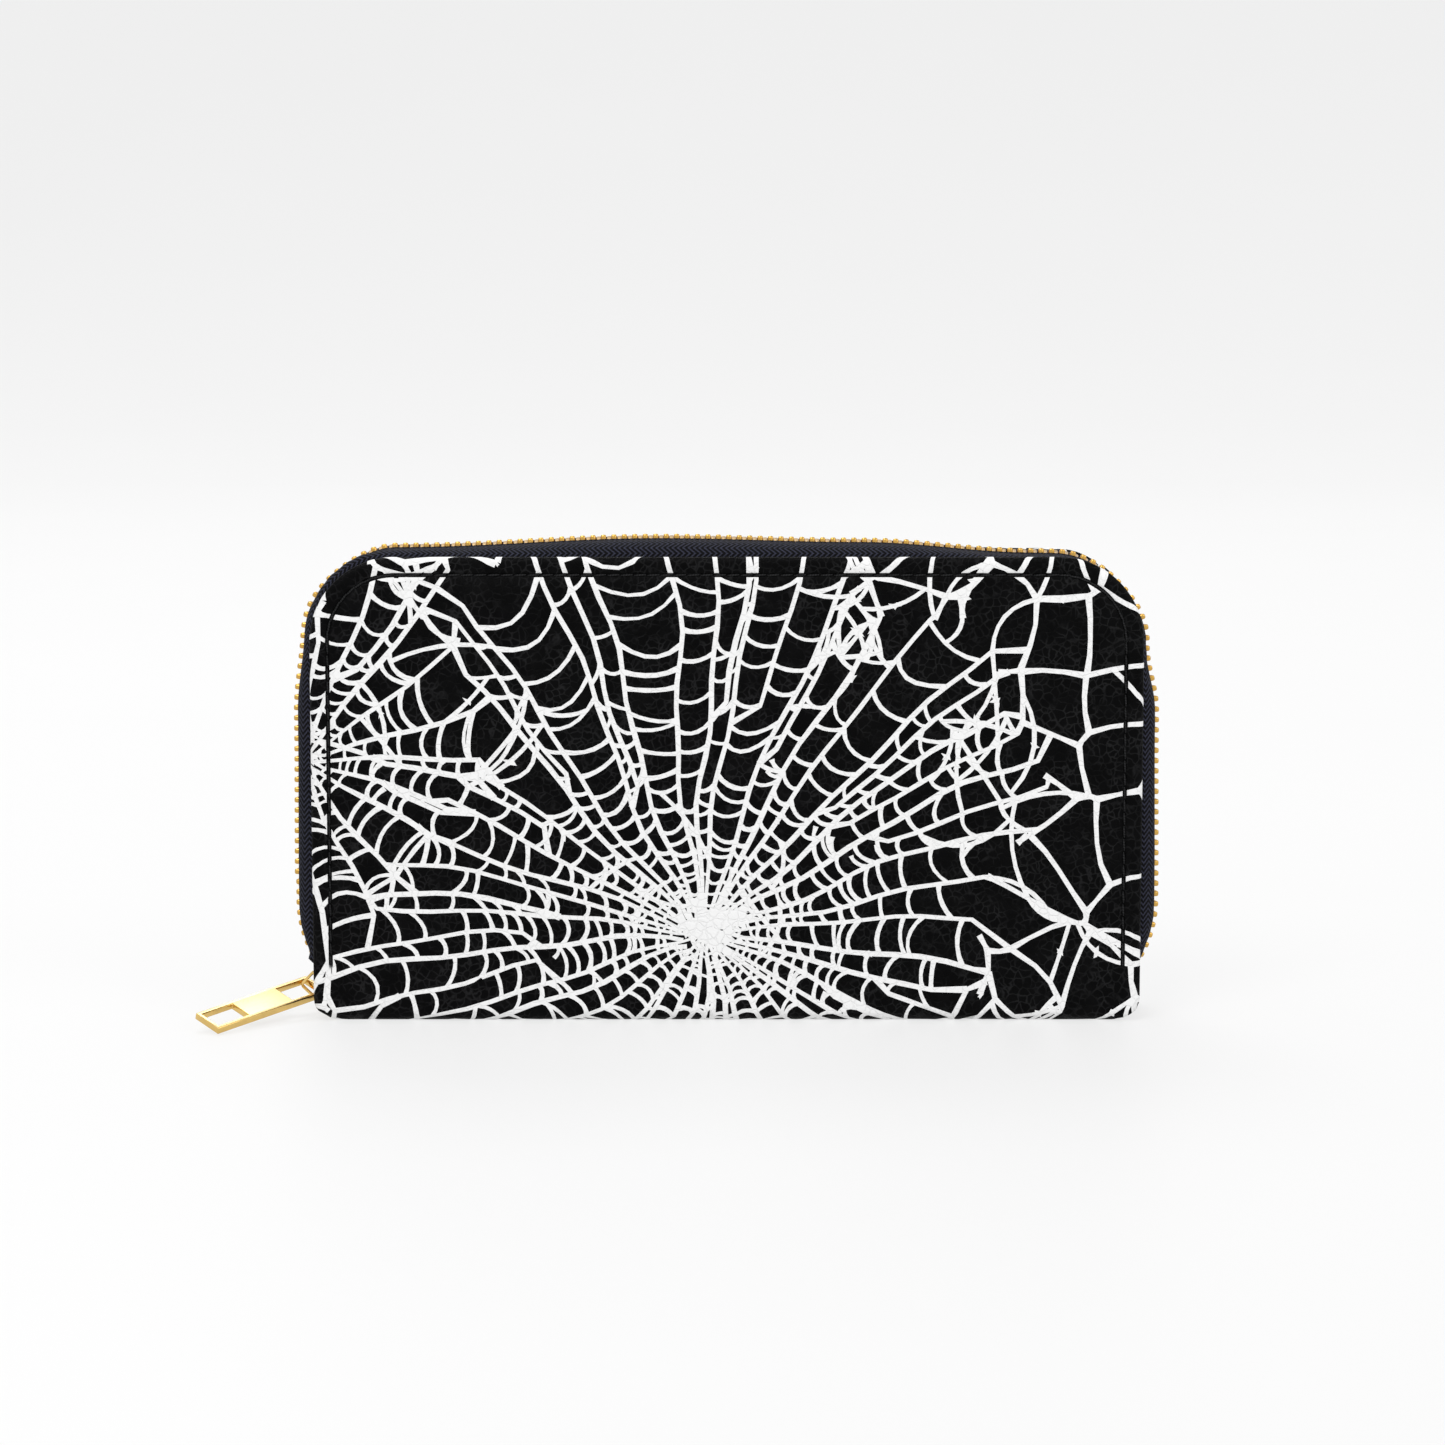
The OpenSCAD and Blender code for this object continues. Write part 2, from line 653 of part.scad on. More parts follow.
module card_tier(i) {
    top = card_top - i * tier_step;
    color(CLOTH) upright(-tier_y(i - 1) + tier_gap, tier_t)
        sheet_2d(card_w - 2, inner_foot + 0.5, top, 3, 1);
}

module front_cover() { color(LEATHER) half_cover(); }
module back_cover() { color(LEATHER) mirror([0, 1, 0]) half_cover(); }
module front_teeth(from, to) { color(GOLD) teeth_row(false, from, to); }
module back_teeth(from, to) { color(GOLD) teeth_row(true, from, to); }

front_cover();
back_cover();
spine_cover();
half_board();  // front_board
mirror([0, 1, 0]) half_board();  // back_board
spine_board();
half_lining();  // front_lining
mirror([0, 1, 0]) half_lining();  // back_lining
spine_lining();
half_stitching();  // front_stitching
mirror([0, 1, 0]) half_stitching();  // back_stitching
color(TAPE) half_tape();  // zip_tape_front
color(TAPE) mirror([0, 1, 0]) half_tape();  // zip_tape_back
front_teeth(foot_end, teeth_end);  // zip_teeth_front
back_teeth(foot_end, teeth_end);  // zip_teeth_back
front_teeth(front_teeth_start, foot_end);  // zip_teeth_front_foot
back_teeth(back_teeth_start, foot_end);  // zip_teeth_back_foot
color(GOLD) top_stop();  // zip_top_stop_front
color(GOLD) mirror([0, 1, 0]) top_stop();  // zip_top_stop_back
zip_bottom_stop();
zip_slider_body();
zip_slider_bridge();
zip_pull();
gusset(-1);  // gusset_left_front
mirror([0, 1, 0]) gusset(-1);  // gusset_left_back
gusset(1);  // gusset_right_front
mirror([0, 1, 0]) gusset(1);  // gusset_right_back
coin_wall();  // coin_pocket_front
mirror([0, 1, 0]) coin_wall();  // coin_pocket_back
coin_pocket_base();
coin_half_tape();  // coin_tape_front
mirror([0, 1, 0]) coin_half_tape();  // coin_tape_back
coin_teeth(false);  // coin_teeth_front
coin_teeth(true);  // coin_teeth_back
coin_stops();
coin_slider_body();
coin_slider_bridge();
coin_pull();
card_backing();  // front_card_backing
mirror([0, 1, 0]) card_backing();  // back_card_backing
card_tier(1);  // front_card_tier_1
card_tier(2);  // front_card_tier_2
card_tier(3);  // front_card_tier_3
card_tier(4);  // front_card_tier_4
mirror([0, 1, 0]) card_tier(1);  // back_card_tier_1
mirror([0, 1, 0]) card_tier(2);  // back_card_tier_2
mirror([0, 1, 0]) card_tier(3);  // back_card_tier_3
mirror([0, 1, 0]) card_tier(4);  // back_card_tier_4
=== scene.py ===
# %% [markdown]
# # A zip-around wallet
# The wallet stands on its spine. Its skin is one sheet of printed leather that is turned over at
# the edges and folded under the spine. A metal zip runs round three sides between the two halves.
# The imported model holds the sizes, the joints and the pieces that touch, so everything here is
# worked out from its boxes and its joints.

# %% The frame
import json
import math
import random
from contextlib import contextmanager

import bpy
import bmesh
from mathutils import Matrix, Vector
from mathutils.geometry import delaunay_2d_cdt

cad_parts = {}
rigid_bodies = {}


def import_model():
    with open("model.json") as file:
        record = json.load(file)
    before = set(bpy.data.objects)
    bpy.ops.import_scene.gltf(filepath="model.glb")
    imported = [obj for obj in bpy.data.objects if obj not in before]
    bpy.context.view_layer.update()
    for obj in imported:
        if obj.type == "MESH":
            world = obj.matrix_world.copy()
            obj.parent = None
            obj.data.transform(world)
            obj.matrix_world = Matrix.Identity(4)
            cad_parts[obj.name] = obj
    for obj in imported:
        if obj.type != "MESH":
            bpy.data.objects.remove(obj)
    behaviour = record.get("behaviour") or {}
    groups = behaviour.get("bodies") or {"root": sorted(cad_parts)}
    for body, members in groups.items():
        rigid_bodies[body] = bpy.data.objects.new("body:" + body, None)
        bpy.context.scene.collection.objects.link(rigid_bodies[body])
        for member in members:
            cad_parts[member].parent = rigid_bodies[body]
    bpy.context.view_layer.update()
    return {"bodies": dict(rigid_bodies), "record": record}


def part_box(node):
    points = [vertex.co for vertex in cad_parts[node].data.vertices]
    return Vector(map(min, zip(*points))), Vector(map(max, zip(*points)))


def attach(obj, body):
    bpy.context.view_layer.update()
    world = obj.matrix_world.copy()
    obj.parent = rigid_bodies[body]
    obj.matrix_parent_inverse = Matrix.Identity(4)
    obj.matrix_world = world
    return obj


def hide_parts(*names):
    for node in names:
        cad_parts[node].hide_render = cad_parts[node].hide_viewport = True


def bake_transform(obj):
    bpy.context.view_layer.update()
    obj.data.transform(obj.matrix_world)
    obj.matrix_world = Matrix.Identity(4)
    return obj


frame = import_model()
MM = 0.001
joints = {j["name"]: j for j in frame["record"]["behaviour"]["joints"]}
print("bodies:", ", ".join(sorted(frame["bodies"])))

# %% [markdown]
# ## Sizes
# A wallet maker cuts everything to the cover's outline, so the outline is measured once from the
# packed cover, and the rest follows from it and from a few leather-working sizes.

# %% Sizes of the wallet
cover_low, cover_high = (Vector(c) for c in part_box("front_cover"))
HALF_W = cover_high.x
HEIGHT = cover_high.z
FACE_Y = -cover_low.y
WALL = cover_high.y - cover_low.y
hinge = Vector(joints["front_cover_swing"]["pos_m"])
FOLD_R = hinge.z
TOP_R = 20 * MM
FOOT_R = 5.5 * MM
SEAM_IN = 4.2 * MM
SEAM_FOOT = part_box("front_stitching")[0][2]
print(f"cover {2000 * HALF_W:.0f} x {1000 * HEIGHT:.0f} mm, {2000 * FACE_Y:.0f} mm thick")

# %% [markdown]
# ## Shader helper
# A finish is a small sum of patterns. Writing it as sums keeps it readable, so a thin class wraps
# a node's output, and an operator on it adds the Math node that does the same.

# %% Wires and boards
class Wire:
    """An output socket that takes part in arithmetic."""

    def __init__(self, board, socket):
        self.board, self.socket = board, socket

    def math(self, operation, *values):
        return self.board.node("ShaderNodeMath", {"operation": operation}, dict(enumerate(values)))

    def __add__(self, other):
        return self.math("ADD", self, other)

    def __sub__(self, other):
        return self.math("SUBTRACT", self, other)

    def __rsub__(self, other):
        return self.math("SUBTRACT", other, self)

    def __mul__(self, other):
        return self.math("MULTIPLY", self, other)

    def __truediv__(self, other):
        return self.math("DIVIDE", self, other)

    __radd__ = __add__
    __rmul__ = __mul__


class Board:
    """A material's node tree, with its shader ready."""

    def __init__(self, name, **fixed):
        self.material = bpy.data.materials.new(name)
        self.material.use_nodes = True
        self.tree = self.material.node_tree
        self.shader = self.tree.nodes["Principled BSDF"]
        for socket, value in fixed.items():
            self.shader.inputs[socket.replace("_", " ")].default_value = value

    def node(self, kind, settings=None, values=None, out=0):
        made = self.tree.nodes.new(kind)
        for name, value in (settings or {}).items():
            if name == "stops":
                self.set_stops(made.color_ramp, value)
            else:
                setattr(made, name, value)
        for socket, value in (values or {}).items():
            self.join(value, made.inputs[socket])
        return Wire(self, made.outputs[out])

    def set_stops(self, ramp, stops):
        while len(ramp.elements) < len(stops):
            ramp.elements.new(1)
        for element, (place, colour) in zip(ramp.elements, stops):
            element.position, element.color = place, (*colour, 1)

    def join(self, value, socket):
        if isinstance(value, Wire):
            self.tree.links.new(value.socket, socket)
        else:
            socket.default_value = value

    def set(self, **values):
        for socket, value in values.items():
            self.join(value, self.shader.inputs[socket.replace("_", " ")])

    def place(self):
        return self.node("ShaderNodeTexCoord", out="Object")

    def uv(self):
        return self.node("ShaderNodeUVMap", {"uv_map": "UVMap"})

    def noise(self, vector, scale, detail=3, rough=0.55):
        return self.node("ShaderNodeTexNoise", None,
                         {"Vector": vector, "Scale": scale, "Detail": detail, "Roughness": rough})

    def cells(self, vector, scale, feature="F1", random_places=1.0):
        return self.node("ShaderNodeTexVoronoi", {"feature": feature},
                         {"Vector": vector, "Scale": scale, "Randomness": random_places})

    def ramp(self, value, *stops):
        return self.node("ShaderNodeValToRGB", {"stops": stops}, {"Fac": value})

    def spread(self, value, low, high, to_low=0.0, to_high=1.0):
        return self.node("ShaderNodeMapRange", None, {
            "Value": value, "From Min": low, "From Max": high, "To Min": to_low, "To Max": to_high})

    def bump(self, height, depth, strength=1.0):
        normal = self.node("ShaderNodeBump", None,
                           {"Height": height, "Distance": depth, "Strength": strength})
        self.set(Normal=normal)


# %% [markdown]
# ## Leather finishes
# The skin is coated leather with a pressed pebble grain: flat little islands with fine valleys
# between them. Cells give the islands, a second finer layer breaks them up, and the print lies on
# top of the same grain, so both finishes share one relief.

# %% Leather
GRAIN = 1 / (1.9 * MM)


def press_grain(board, depth=0.12 * MM):
    spot = board.place()
    warp = board.node("ShaderNodeVectorMath", {"operation": "MULTIPLY_ADD"}, {
        0: board.node("ShaderNodeTexNoise", None,
                      {"Vector": spot, "Scale": 420.0, "Detail": 2.0}, out="Color"),
        1: (0.0017, 0.0017, 0.0017), 2: spot})
    valley = board.spread(board.cells(warp, GRAIN, "DISTANCE_TO_EDGE"), 0.0, 0.11)
    pores = board.spread(board.cells(warp, GRAIN * 2.7, "DISTANCE_TO_EDGE"), 0.0, 0.22)
    soft = board.noise(spot, 160.0)
    height = valley * 0.7 + pores * 0.16 + soft * 0.5
    board.bump(height, depth)
    return valley, soft


def leather(name, low, high, rough):
    board = Board(name, Specular_IOR_Level=0.03)
    valley, soft = press_grain(board)
    broken = board.spread(board.noise(board.place(), 200.0), 0.36, 0.6)
    # Painted light: along the grain's valleys, broken up by noise, the colour moves towards `high`.
    # That is a painted highlight on the black leathers and painted shade on the white print. The soft
    # noise adds tone that differs at random.
    painted_valley_light_and_tone = (1.0 - valley) * broken * 0.75 + soft * 0.35
    board.set(Base_Color=board.ramp(painted_valley_light_and_tone, (0.15, low), (0.85, high)),
              Roughness=board.spread(soft + valley * 0.3, 0.2, 1.1, rough + 0.1, rough - 0.08))
    return board.material


black_leather = leather("black_leather", (0.0015, 0.0015, 0.0016), (0.0115, 0.0115, 0.012), 0.44)
white_print = leather("white_print", (0.75, 0.75, 0.75), (0.71, 0.71, 0.71), 0.5)
print("leather finishes:", black_leather.name, white_print.name)

# %% [markdown]
# ## The skin's flat pattern
# The leather is cut flat, printed flat, and only then wrapped. So the print is drawn on the flat
# pattern too: x runs along the wallet, v runs down the front, under the spine and up the back.
# `wrap` bends any point of the pattern into its place on the finished wallet.

# %% From the flat pattern to the wallet
PANEL_V = HEIGHT - FOLD_R
FOLD_V = FOLD_R * math.pi / 2
SPINE_V = 2 * (FACE_Y - FOLD_R)
WHOLE_V = 2 * PANEL_V + 2 * FOLD_V + SPINE_V
ROLL = 1.7 * MM
ROLL_RUN = 3.9 * MM
FLAP = 3.0 * MM
GROOVE_W = 0.42 * MM
GROOVE_D = 0.5 * MM
# Half width of the band along the seam groove where the print is left black: painted shade in the
# groove.
GROOVE_SHADE_W = 0.48 * MM
PUFF = 0.30 * MM


def section(v):
    """(y, z) and the outward normal of the unrolled section at v, from the front's top edge."""
    if v > WHOLE_V / 2:
        y, z, ny, nz = section(WHOLE_V - v)
        return -y, z, -ny, nz
    if v < PANEL_V:
        return -FACE_Y, HEIGHT - v, -1.0, 0.0
    if v < PANEL_V + FOLD_V:
        a = (v - PANEL_V) / FOLD_R
        return (-FACE_Y + FOLD_R * (1 - math.cos(a)), FOLD_R * (1 - math.sin(a)),
                -math.cos(a), -math.sin(a))
    return -FACE_Y + FOLD_R + v - PANEL_V - FOLD_V, 0.0, 0.0, -1.0


def half_width(z):
    if z >= FOOT_R:
        return HALF_W
    return HALF_W - FOOT_R + math.sqrt(max(0.0, FOOT_R**2 - (FOOT_R - z)**2))


def edge_distance(x, v):
    """Distance in from the leather's edge, and the way out to that edge, in the pattern."""
    side = 1 if x > 0 else -1
    end = -1 if v < WHOLE_V / 2 else 1
    from_end = v if end < 0 else WHOLE_V - v
    cx, cv = abs(x) - (HALF_W - TOP_R), TOP_R - from_end
    if cx > 0 and cv > 0:
        r = math.hypot(cx, cv)
        return TOP_R - r, side * cx / r, end * cv / r
    half = half_width(section(min(max(v, 0), WHOLE_V))[1])
    if half - abs(x) < from_end:
        return half - abs(x), float(side), 0.0
    return from_end, 0.0, float(end)


def relief(d, z):
    """How far the face stands out at a distance from the edge: a puffed rim, a sewn groove."""
    seam = min(1.0, max(0.0, (z - SEAM_FOOT) / (2 * MM)))
    puff = PUFF * math.sin(math.pi * min(1.0, max(0.0, d / SEAM_IN)))
    groove = GROOVE_D * math.exp(-((d - SEAM_IN) / GROOVE_W) ** 2)
    return seam * (puff - groove)


def wrap(x, v, out=0.0):
    """The place on the wallet of a point of the pattern, and out above the face there."""
    d, nx, nv = edge_distance(x, v)
    past = max(0.0, ROLL - d)
    x, v = x - nx * past, v - nv * past
    y, z, ny, nz = section(min(max(v, 0.0), WHOLE_V))
    normal = Vector((0, ny, nz))
    way = Vector((nx, nv * -nz, nv * ny))
    if past == 0:
        return Vector((x, y, z)) + normal * (relief(d, z) + out)
    turn = min(math.pi, past / ROLL_RUN * math.pi)
    flat = max(0.0, past - ROLL_RUN)
    half = WALL / 2
    lip = way * (ROLL + out) * math.sin(turn) - normal * (half - (half + out) * math.cos(turn))
    rise = relief(d + past, z) * max(0.0, math.cos(turn))
    return Vector((x, y, z)) + lip + normal * rise - way * flat


print(f"pattern {2000 * HALF_W:.0f} x {1000 * WHOLE_V:.0f} mm before turning in")

# %% [markdown]
# ## Drawing the cobweb
# A web is made of hubs. From each hub spokes run out, some of them forking half way, and rungs
# hang between neighbouring spokes, sagging back to the hub. A hub's spokes end where the next
# hub's begin, and loose cells fill what no hub reaches. All of it is drawn from a few hub settings
# and a seeded random draw.

# %% Hubs
rng = random.Random(41)


class Hub:
    """One centre of the web, with its spokes."""

    def __init__(self, x, v, spokes, reach, lean, pull, gap=1.5, fork=0.5, blot=0.0):
        self.centre = Vector((x, v)) * MM
        self.reach, self.lean, self.pull = reach * MM, math.radians(lean), pull
        self.gap, self.blot = gap * MM, blot * MM
        step = 2 * math.pi / spokes
        self.angles, self.starts = [], []
        for k in range(spokes):
            self.angles.append(step * (k + rng.uniform(-0.3, 0.3)))
            self.starts.append(rng.choice((0.0, 0.0, 0.05, 0.11)) * self.reach)
            if rng.random() < fork:
                self.angles.append(step * (k + rng.uniform(0.42, 0.58)))
                self.starts.append(rng.uniform(0.38, 0.7) * self.reach)
        self.count = len(self.angles)
        self.waves = [(rng.uniform(0.2, 0.9) * MM, rng.uniform(0, 6.3)) for _ in self.angles]

    def on_spoke(self, k, r):
        size, phase = self.waves[k % self.count]
        side = size * math.sin(r * 105 + phase) * min(1, r / (20 * MM))
        a = self.angles[k % self.count]
        return self.centre + Vector((r * math.cos(a) - side * math.sin(a),
                                     r * math.sin(a) + side * math.cos(a)))

    def distance(self, p):
        way = p - self.centre
        angle = math.atan2(way.y, way.x)
        edge = 1 + self.pull * math.cos(angle - self.lean) + 0.10 * math.sin(5 * angle + self.lean)
        edge += 0.06 * math.sin(13 * angle)
        return way.length / (self.reach * edge)


hubs = [
    Hub(-5, 87, 40, 80, 243, 0.27, blot=6.6),
    Hub(-98, 47, 21, 43, 15, 0.25, gap=2.4, fork=0.3, blot=2.4),
    Hub(22, 172, 38, 76, 40, 0.25, blot=6.0),
    Hub(-70, 205, 24, 36, 200, 0.2, gap=2.4, blot=2.2),
    Hub(97, 236, 20, 32, 180, 0.2, gap=2.4, blot=1.8),
    Hub(-99, 132, 18, 26, 0, 0.1, gap=3.0, fork=0.2),
]
TANGLES = ((37, 5, 22, 17), (69, 4, 20, 12), (-62, 0, 20, 7), (84, 98, 22, 13), (20, 30, 14, 4),
           (-96, 44, 20, 8), (-8, 80, 26, 10), (76, 52, 34, 15), (-60, 24, 30, 8),
           (30, 240, 30, 12), (-60, 150, 24, 8), (72, 160, 24, 8))


def owner(p):
    near = min(hubs, key=lambda h: h.distance(p))
    return near if near.distance(p) < 1 else None


def inside_pattern(p, margin=8 * MM):
    return edge_distance(p.x, p.y)[0] > -margin and -margin < p.y < WHOLE_V + margin


# %% [markdown]
# The loose cells are the borders between scattered points: each border joins the middles of two
# neighbouring triangles of the points' triangulation. Only those outside every hub are kept, and
# their ends are remembered, so that the spokes can run on into them.

# %% Loose cells
CELL = 14.5 * MM
LINE = 1.1 * MM
web_lines = []
web_fills = []
loose_ends = []


def circle_middle(a, b, c):
    d = 2 * (a.x * (b.y - c.y) + b.x * (c.y - a.y) + c.x * (a.y - b.y))
    if abs(d) < 1e-12:
        return (a + b + c) / 3
    aa, bb, cc = a.length_squared, b.length_squared, c.length_squared
    return Vector(((aa * (b.y - c.y) + bb * (c.y - a.y) + cc * (a.y - b.y)) / d,
                   (aa * (c.x - b.x) + bb * (a.x - c.x) + cc * (b.x - a.x)) / d))


def scattered_points():
    columns, rows = int(2 * HALF_W / CELL) + 4, int(WHOLE_V / CELL) + 4
    return [Vector(((i - columns / 2 + rng.uniform(-0.6, 0.6)) * CELL,
                    (j - 2 + rng.uniform(-0.6, 0.6)) * CELL * 1.1))
            for i in range(columns + 1) for j in range(rows + 1)]


def cell_borders():
    points, _, faces, *_ = delaunay_2d_cdt(scattered_points(), [], [], 0, 1e-7, True)
    middles = [circle_middle(*(points[i] for i in f)) for f in faces]
    across = {}
    for n, f in enumerate(faces):
        for i in range(3):
            across.setdefault(frozenset((f[i], f[i - 1])), []).append(n)
    return [(middles[p[0]], middles[p[1]]) for p in across.values() if len(p) == 2]


def drifted(p):
    """Nothing in a web is regular: the whole drawing is pulled about a little."""
    return p + Vector((1.9 * math.sin(p.y * 62 + 1) + 0.55 * math.sin(p.y * 205 + p.x * 90),
                       1.7 * math.sin(p.x * 57 + 2) + 0.5 * math.sin(p.x * 190 - p.y * 110))) * MM


def add_line(points, width, swell=0.0):
    """A drawn line; it thins towards a hub, its width wanders and it swells at its ends."""
    widths = []
    for p in points:
        near = min((p - hub.centre).length for hub in hubs)
        widths.append(width * rng.uniform(0.9, 1.12) * (0.5 + 0.5 * min(1, near / (19 * MM))))
    widths[0] *= 1 + swell
    widths[-1] *= 1 + swell
    web_lines.append(([drifted(p) for p in points], widths))


def add_border(a, b):
    if (b - a).length > 3 * CELL:
        return
    steps = max(2, int((b - a).length / (1.2 * MM)))
    bend = (b - a).orthogonal() * rng.uniform(-0.09, 0.09)
    points = [a.lerp(b, i / steps) + bend * 4 * (i / steps) * (1 - i / steps)
              for i in range(steps + 1)]
    kept = [p for p in points if owner(p) is None and inside_pattern(p)]
    if len(kept) < 3:
        return
    loose_ends.extend(kept[::2])
    count = max(2, len(kept) // 4)
    add_line([kept[round(i * (len(kept) - 1) / count)] for i in range(count + 1)], LINE, 0.35)


for border in cell_borders():
    add_border(*border)
print("loose cell lines:", len(web_lines))


# %% Spokes and rungs
def spoke_end(hub, k):
    r = max(2 * MM, hub.starts[k])
    while r < 0.2:
        p = hub.on_spoke(k, r)
        if owner(p) is not hub or not inside_pattern(p):
            break
        r += 1 * MM
    return r


def add_rung(a, b, centre, width, sag):
    span = (b - a).length
    if span < 0.5 * MM:
        return
    steps = 5 if span > 4 * MM else 3
    points = []
    for i in range(steps + 1):
        t = i / steps
        p = a.lerp(b, t)
        points.append(p + (centre - p).normalized() * sag * span * 4 * t * (1 - t))
    add_line(points, width, 0.3)


def add_spoke(hub, k, end):
    start = hub.starts[k]
    steps = max(2, int((end - start) / (6 * MM)))
    points = [hub.on_spoke(k, start + (end - start) * i / steps) for i in range(steps + 1)]
    if start > 0:
        points.insert(0, hub.on_spoke(k - 1, max(start - 4 * MM, 0.6 * start)))
    way = (points[-1] - points[-2]).normalized()
    ahead = [p for p, other in anchors if other is not hub
             and (p - points[-1]).length < 15 * MM and (p - points[-1]).normalized().dot(way) > 0.6]
    if ahead:
        points.append(min(ahead, key=lambda p: (p - points[-1]).length))
    add_line(points, LINE * rng.uniform(0.9, 1.15), 0.4)


def nearest_inside(hub, k, way, r):
    """The next spoke round the hub that has already started at this radius."""
    for step in range(1, 4):
        if hub.starts[(k + way * step) % hub.count] <= r:
            return k + way * step
    return k + way


def add_hub(hub):
    ends = [spoke_end(hub, k) for k in range(hub.count)]
    for k, end in enumerate(ends):
        if end - hub.starts[k] > 3 * MM:
            add_spoke(hub, k, end)
    for k in range(hub.count):
        r = max(2 * hub.gap, hub.starts[k]) * rng.uniform(0.8, 1.3)
        while r < ends[k]:
            other = nearest_inside(hub, k, 1, r)
            tilt = 1 + rng.uniform(-0.06, 0.06)
            if r * tilt < ends[other % hub.count] + 2 * MM and rng.random() > 0.05:
                a, b = hub.on_spoke(k, r), hub.on_spoke(other, r * tilt)
                add_rung(a, b, hub.centre, LINE * rng.uniform(0.72, 1.0), rng.uniform(0.06, 0.22))
                if r < 16 * MM and hub.blot > 0 and rng.random() < 0.16:
                    wide = hub.on_spoke(other, r * tilt + hub.gap), hub.on_spoke(k, r + hub.gap)
                    web_fills.append([drifted(q) for q in (a, b, *wide)])
            r += (hub.gap + 0.082 * r) * rng.uniform(0.5, 1.6)
        if rng.random() < 0.35:
            last = min(ends[k], ends[(k + 1) % hub.count])
            add_rung(hub.on_spoke(k, last), hub.on_spoke(k + 1, last), hub.centre, LINE, 0.03)


# %% [markdown]
# Where the spokes of a hub meet, the threads clot into a ragged blot. It is a handful of spiky
# shapes laid over one another, and a few small ones are dropped along the spokes.

# %% Blots
def spiky(centre, size, long_way, points=15):
    turn = Vector((math.cos(long_way), math.sin(long_way)))
    out = []
    for i in range(points):
        a = 2 * math.pi * i / points
        r = size * rng.uniform(0.75, 1.25) * (1.3 if i % 2 else 0.62)
        out.append(centre + turn * (1.5 * r * math.cos(a))
                   + Vector((-turn.y, turn.x)) * (r * math.sin(a)))
    return out


def add_blots(hub):
    for n in range(12):
        way = math.radians(-70) + rng.gauss(0, 0.8) * (1 if n % 3 else 4)
        off = rng.uniform(0.1, 1.25) * hub.blot
        place = drifted(hub.centre + off * Vector((math.cos(way), math.sin(way))))
        web_fills.append(spiky(place, hub.blot * rng.uniform(0.2, 0.44), way))
    for _ in range(int(hub.reach / (4 * MM))):
        k = rng.randrange(hub.count)
        r = rng.uniform(hub.blot * 1.5, hub.reach * 0.5)
        if r > hub.starts[k]:
            web_fills.append(spiky(drifted(hub.on_spoke(k, r)), rng.uniform(0.45, 0.85) * MM,
                                   hub.angles[k], 9))


def add_tangle(x, v, size, count):
    """Torn threads that cross the rest at odd angles, each from one thread to another."""
    middle = Vector((x, v)) * MM
    spots = [p for points, _ in web_lines for p in points if (p - middle).length < size * MM]
    if len(spots) < 8:
        return
    for _ in range(count):
        a = rng.choice(spots)
        b = min(rng.sample(spots, 8), key=lambda p: abs((p - a).length - 0.55 * size * MM))
        bend = (b - a).orthogonal() * rng.uniform(-0.2, 0.2)
        points = [a.lerp(b, t) + bend * 4 * t * (1 - t) for t in (0, 0.17, 0.33, 0.5, 0.67, 0.83, 1)]
        if (b - a).length > 2 * MM:
            widths = [LINE * rng.uniform(0.8, 1.05) for _ in points]
            web_lines.append((points, widths))
            if rng.random() < 0.35:
                web_fills.append(spiky(points[3], rng.uniform(0.6, 1.1) * MM, rng.uniform(0, 3), 9))


anchors = [(p, None) for p in loose_ends]
for one in hubs:
    for k in range(one.count):
        last = spoke_end(one, k)
        anchors += [(one.on_spoke(k, last * t), one) for t in (0.7, 0.8, 0.9, 1.0)]
for one in hubs:
    add_hub(one)
    if one.blot > 0:
        add_blots(one)
for tangle in TANGLES:
    add_tangle(*tangle)
print("web lines:", len(web_lines), "blots and filled cells:", len(web_fills))

# %% [markdown]
# ## Printing it on the skin
# Each line becomes a strip of the pattern. A constrained triangulation cuts the pattern along every
# strip and along the rings that follow the rim, and says which faces came out of a strip: those
# get the white finish, except in the seam groove, where they keep the black as painted shade. So
# the print has no thickness and stays sharp at any distance.

# %% Strips, rings and the cut pattern
def turns_left(shape):
    """Whether a shape's outline turns left at every corner, as the cutting needs."""
    n = len(shape)
    return all((shape[(i + 1) % n] - shape[i]).cross(shape[(i + 2) % n] - shape[(i + 1) % n]) > 1e-12
               for i in range(n))


def strip_quads(points, widths):
    """The four-sided pieces of a line of these widths."""
    left, right, quads = [], [], []
    for i, p in enumerate(points):
        way = points[min(i + 1, len(points) - 1)] - points[max(i - 1, 0)]
        side = Vector((-way.y, way.x)).normalized() * widths[i] / 2
        left.append(p + side)
        right.append(p - side)
    for i in range(len(points) - 1):
        quad = [left[i], right[i], right[i + 1], left[i + 1]]
        if not turns_left(quad):
            way = (points[i + 1] - points[i]).normalized()
            side = Vector((-way.y, way.x)) * widths[i] / 2
            quad = [points[i] + side, points[i] - side, points[i + 1] - side, points[i + 1] + side]
        if turns_left(quad):
            quads.append(quad)
    return quads


def ring_points(d):
    """The pattern's outline at a distance in from its edge, front top to back top."""
    x, r = HALF_W - d, TOP_R - d
    quarter = [i / 14 * math.pi / 2 for i in range(15)]
    side = [Vector((-HALF_W + TOP_R - r * math.cos(a), TOP_R - r * math.sin(a))) for a in quarter]
    top = [Vector((p.x, p.y)) for p in reversed(side)]
    run = [TOP_R + (WHOLE_V - 2 * TOP_R) * i / 60 for i in range(1, 61)]
    for v in run[:-1]:
        inset = HALF_W - half_width(section(v)[1])
        top.append(Vector((-x + inset, v)))
    low = [Vector((p.x, WHOLE_V - p.y)) for p in side]
    left = top + low
    right = [Vector((-p.x, p.y)) for p in reversed(left)]
    return left + right


lip_rings = [ROLL - ROLL_RUN * i / 9 for i in range(10)] + [ROLL - ROLL_RUN - FLAP]
groove_rings = [SEAM_IN + GROOVE_W * i * 0.75 for i in (-2.6, -1.6, -0.9, 0, 0.9, 1.6)]
rim_rings = lip_rings + groove_rings


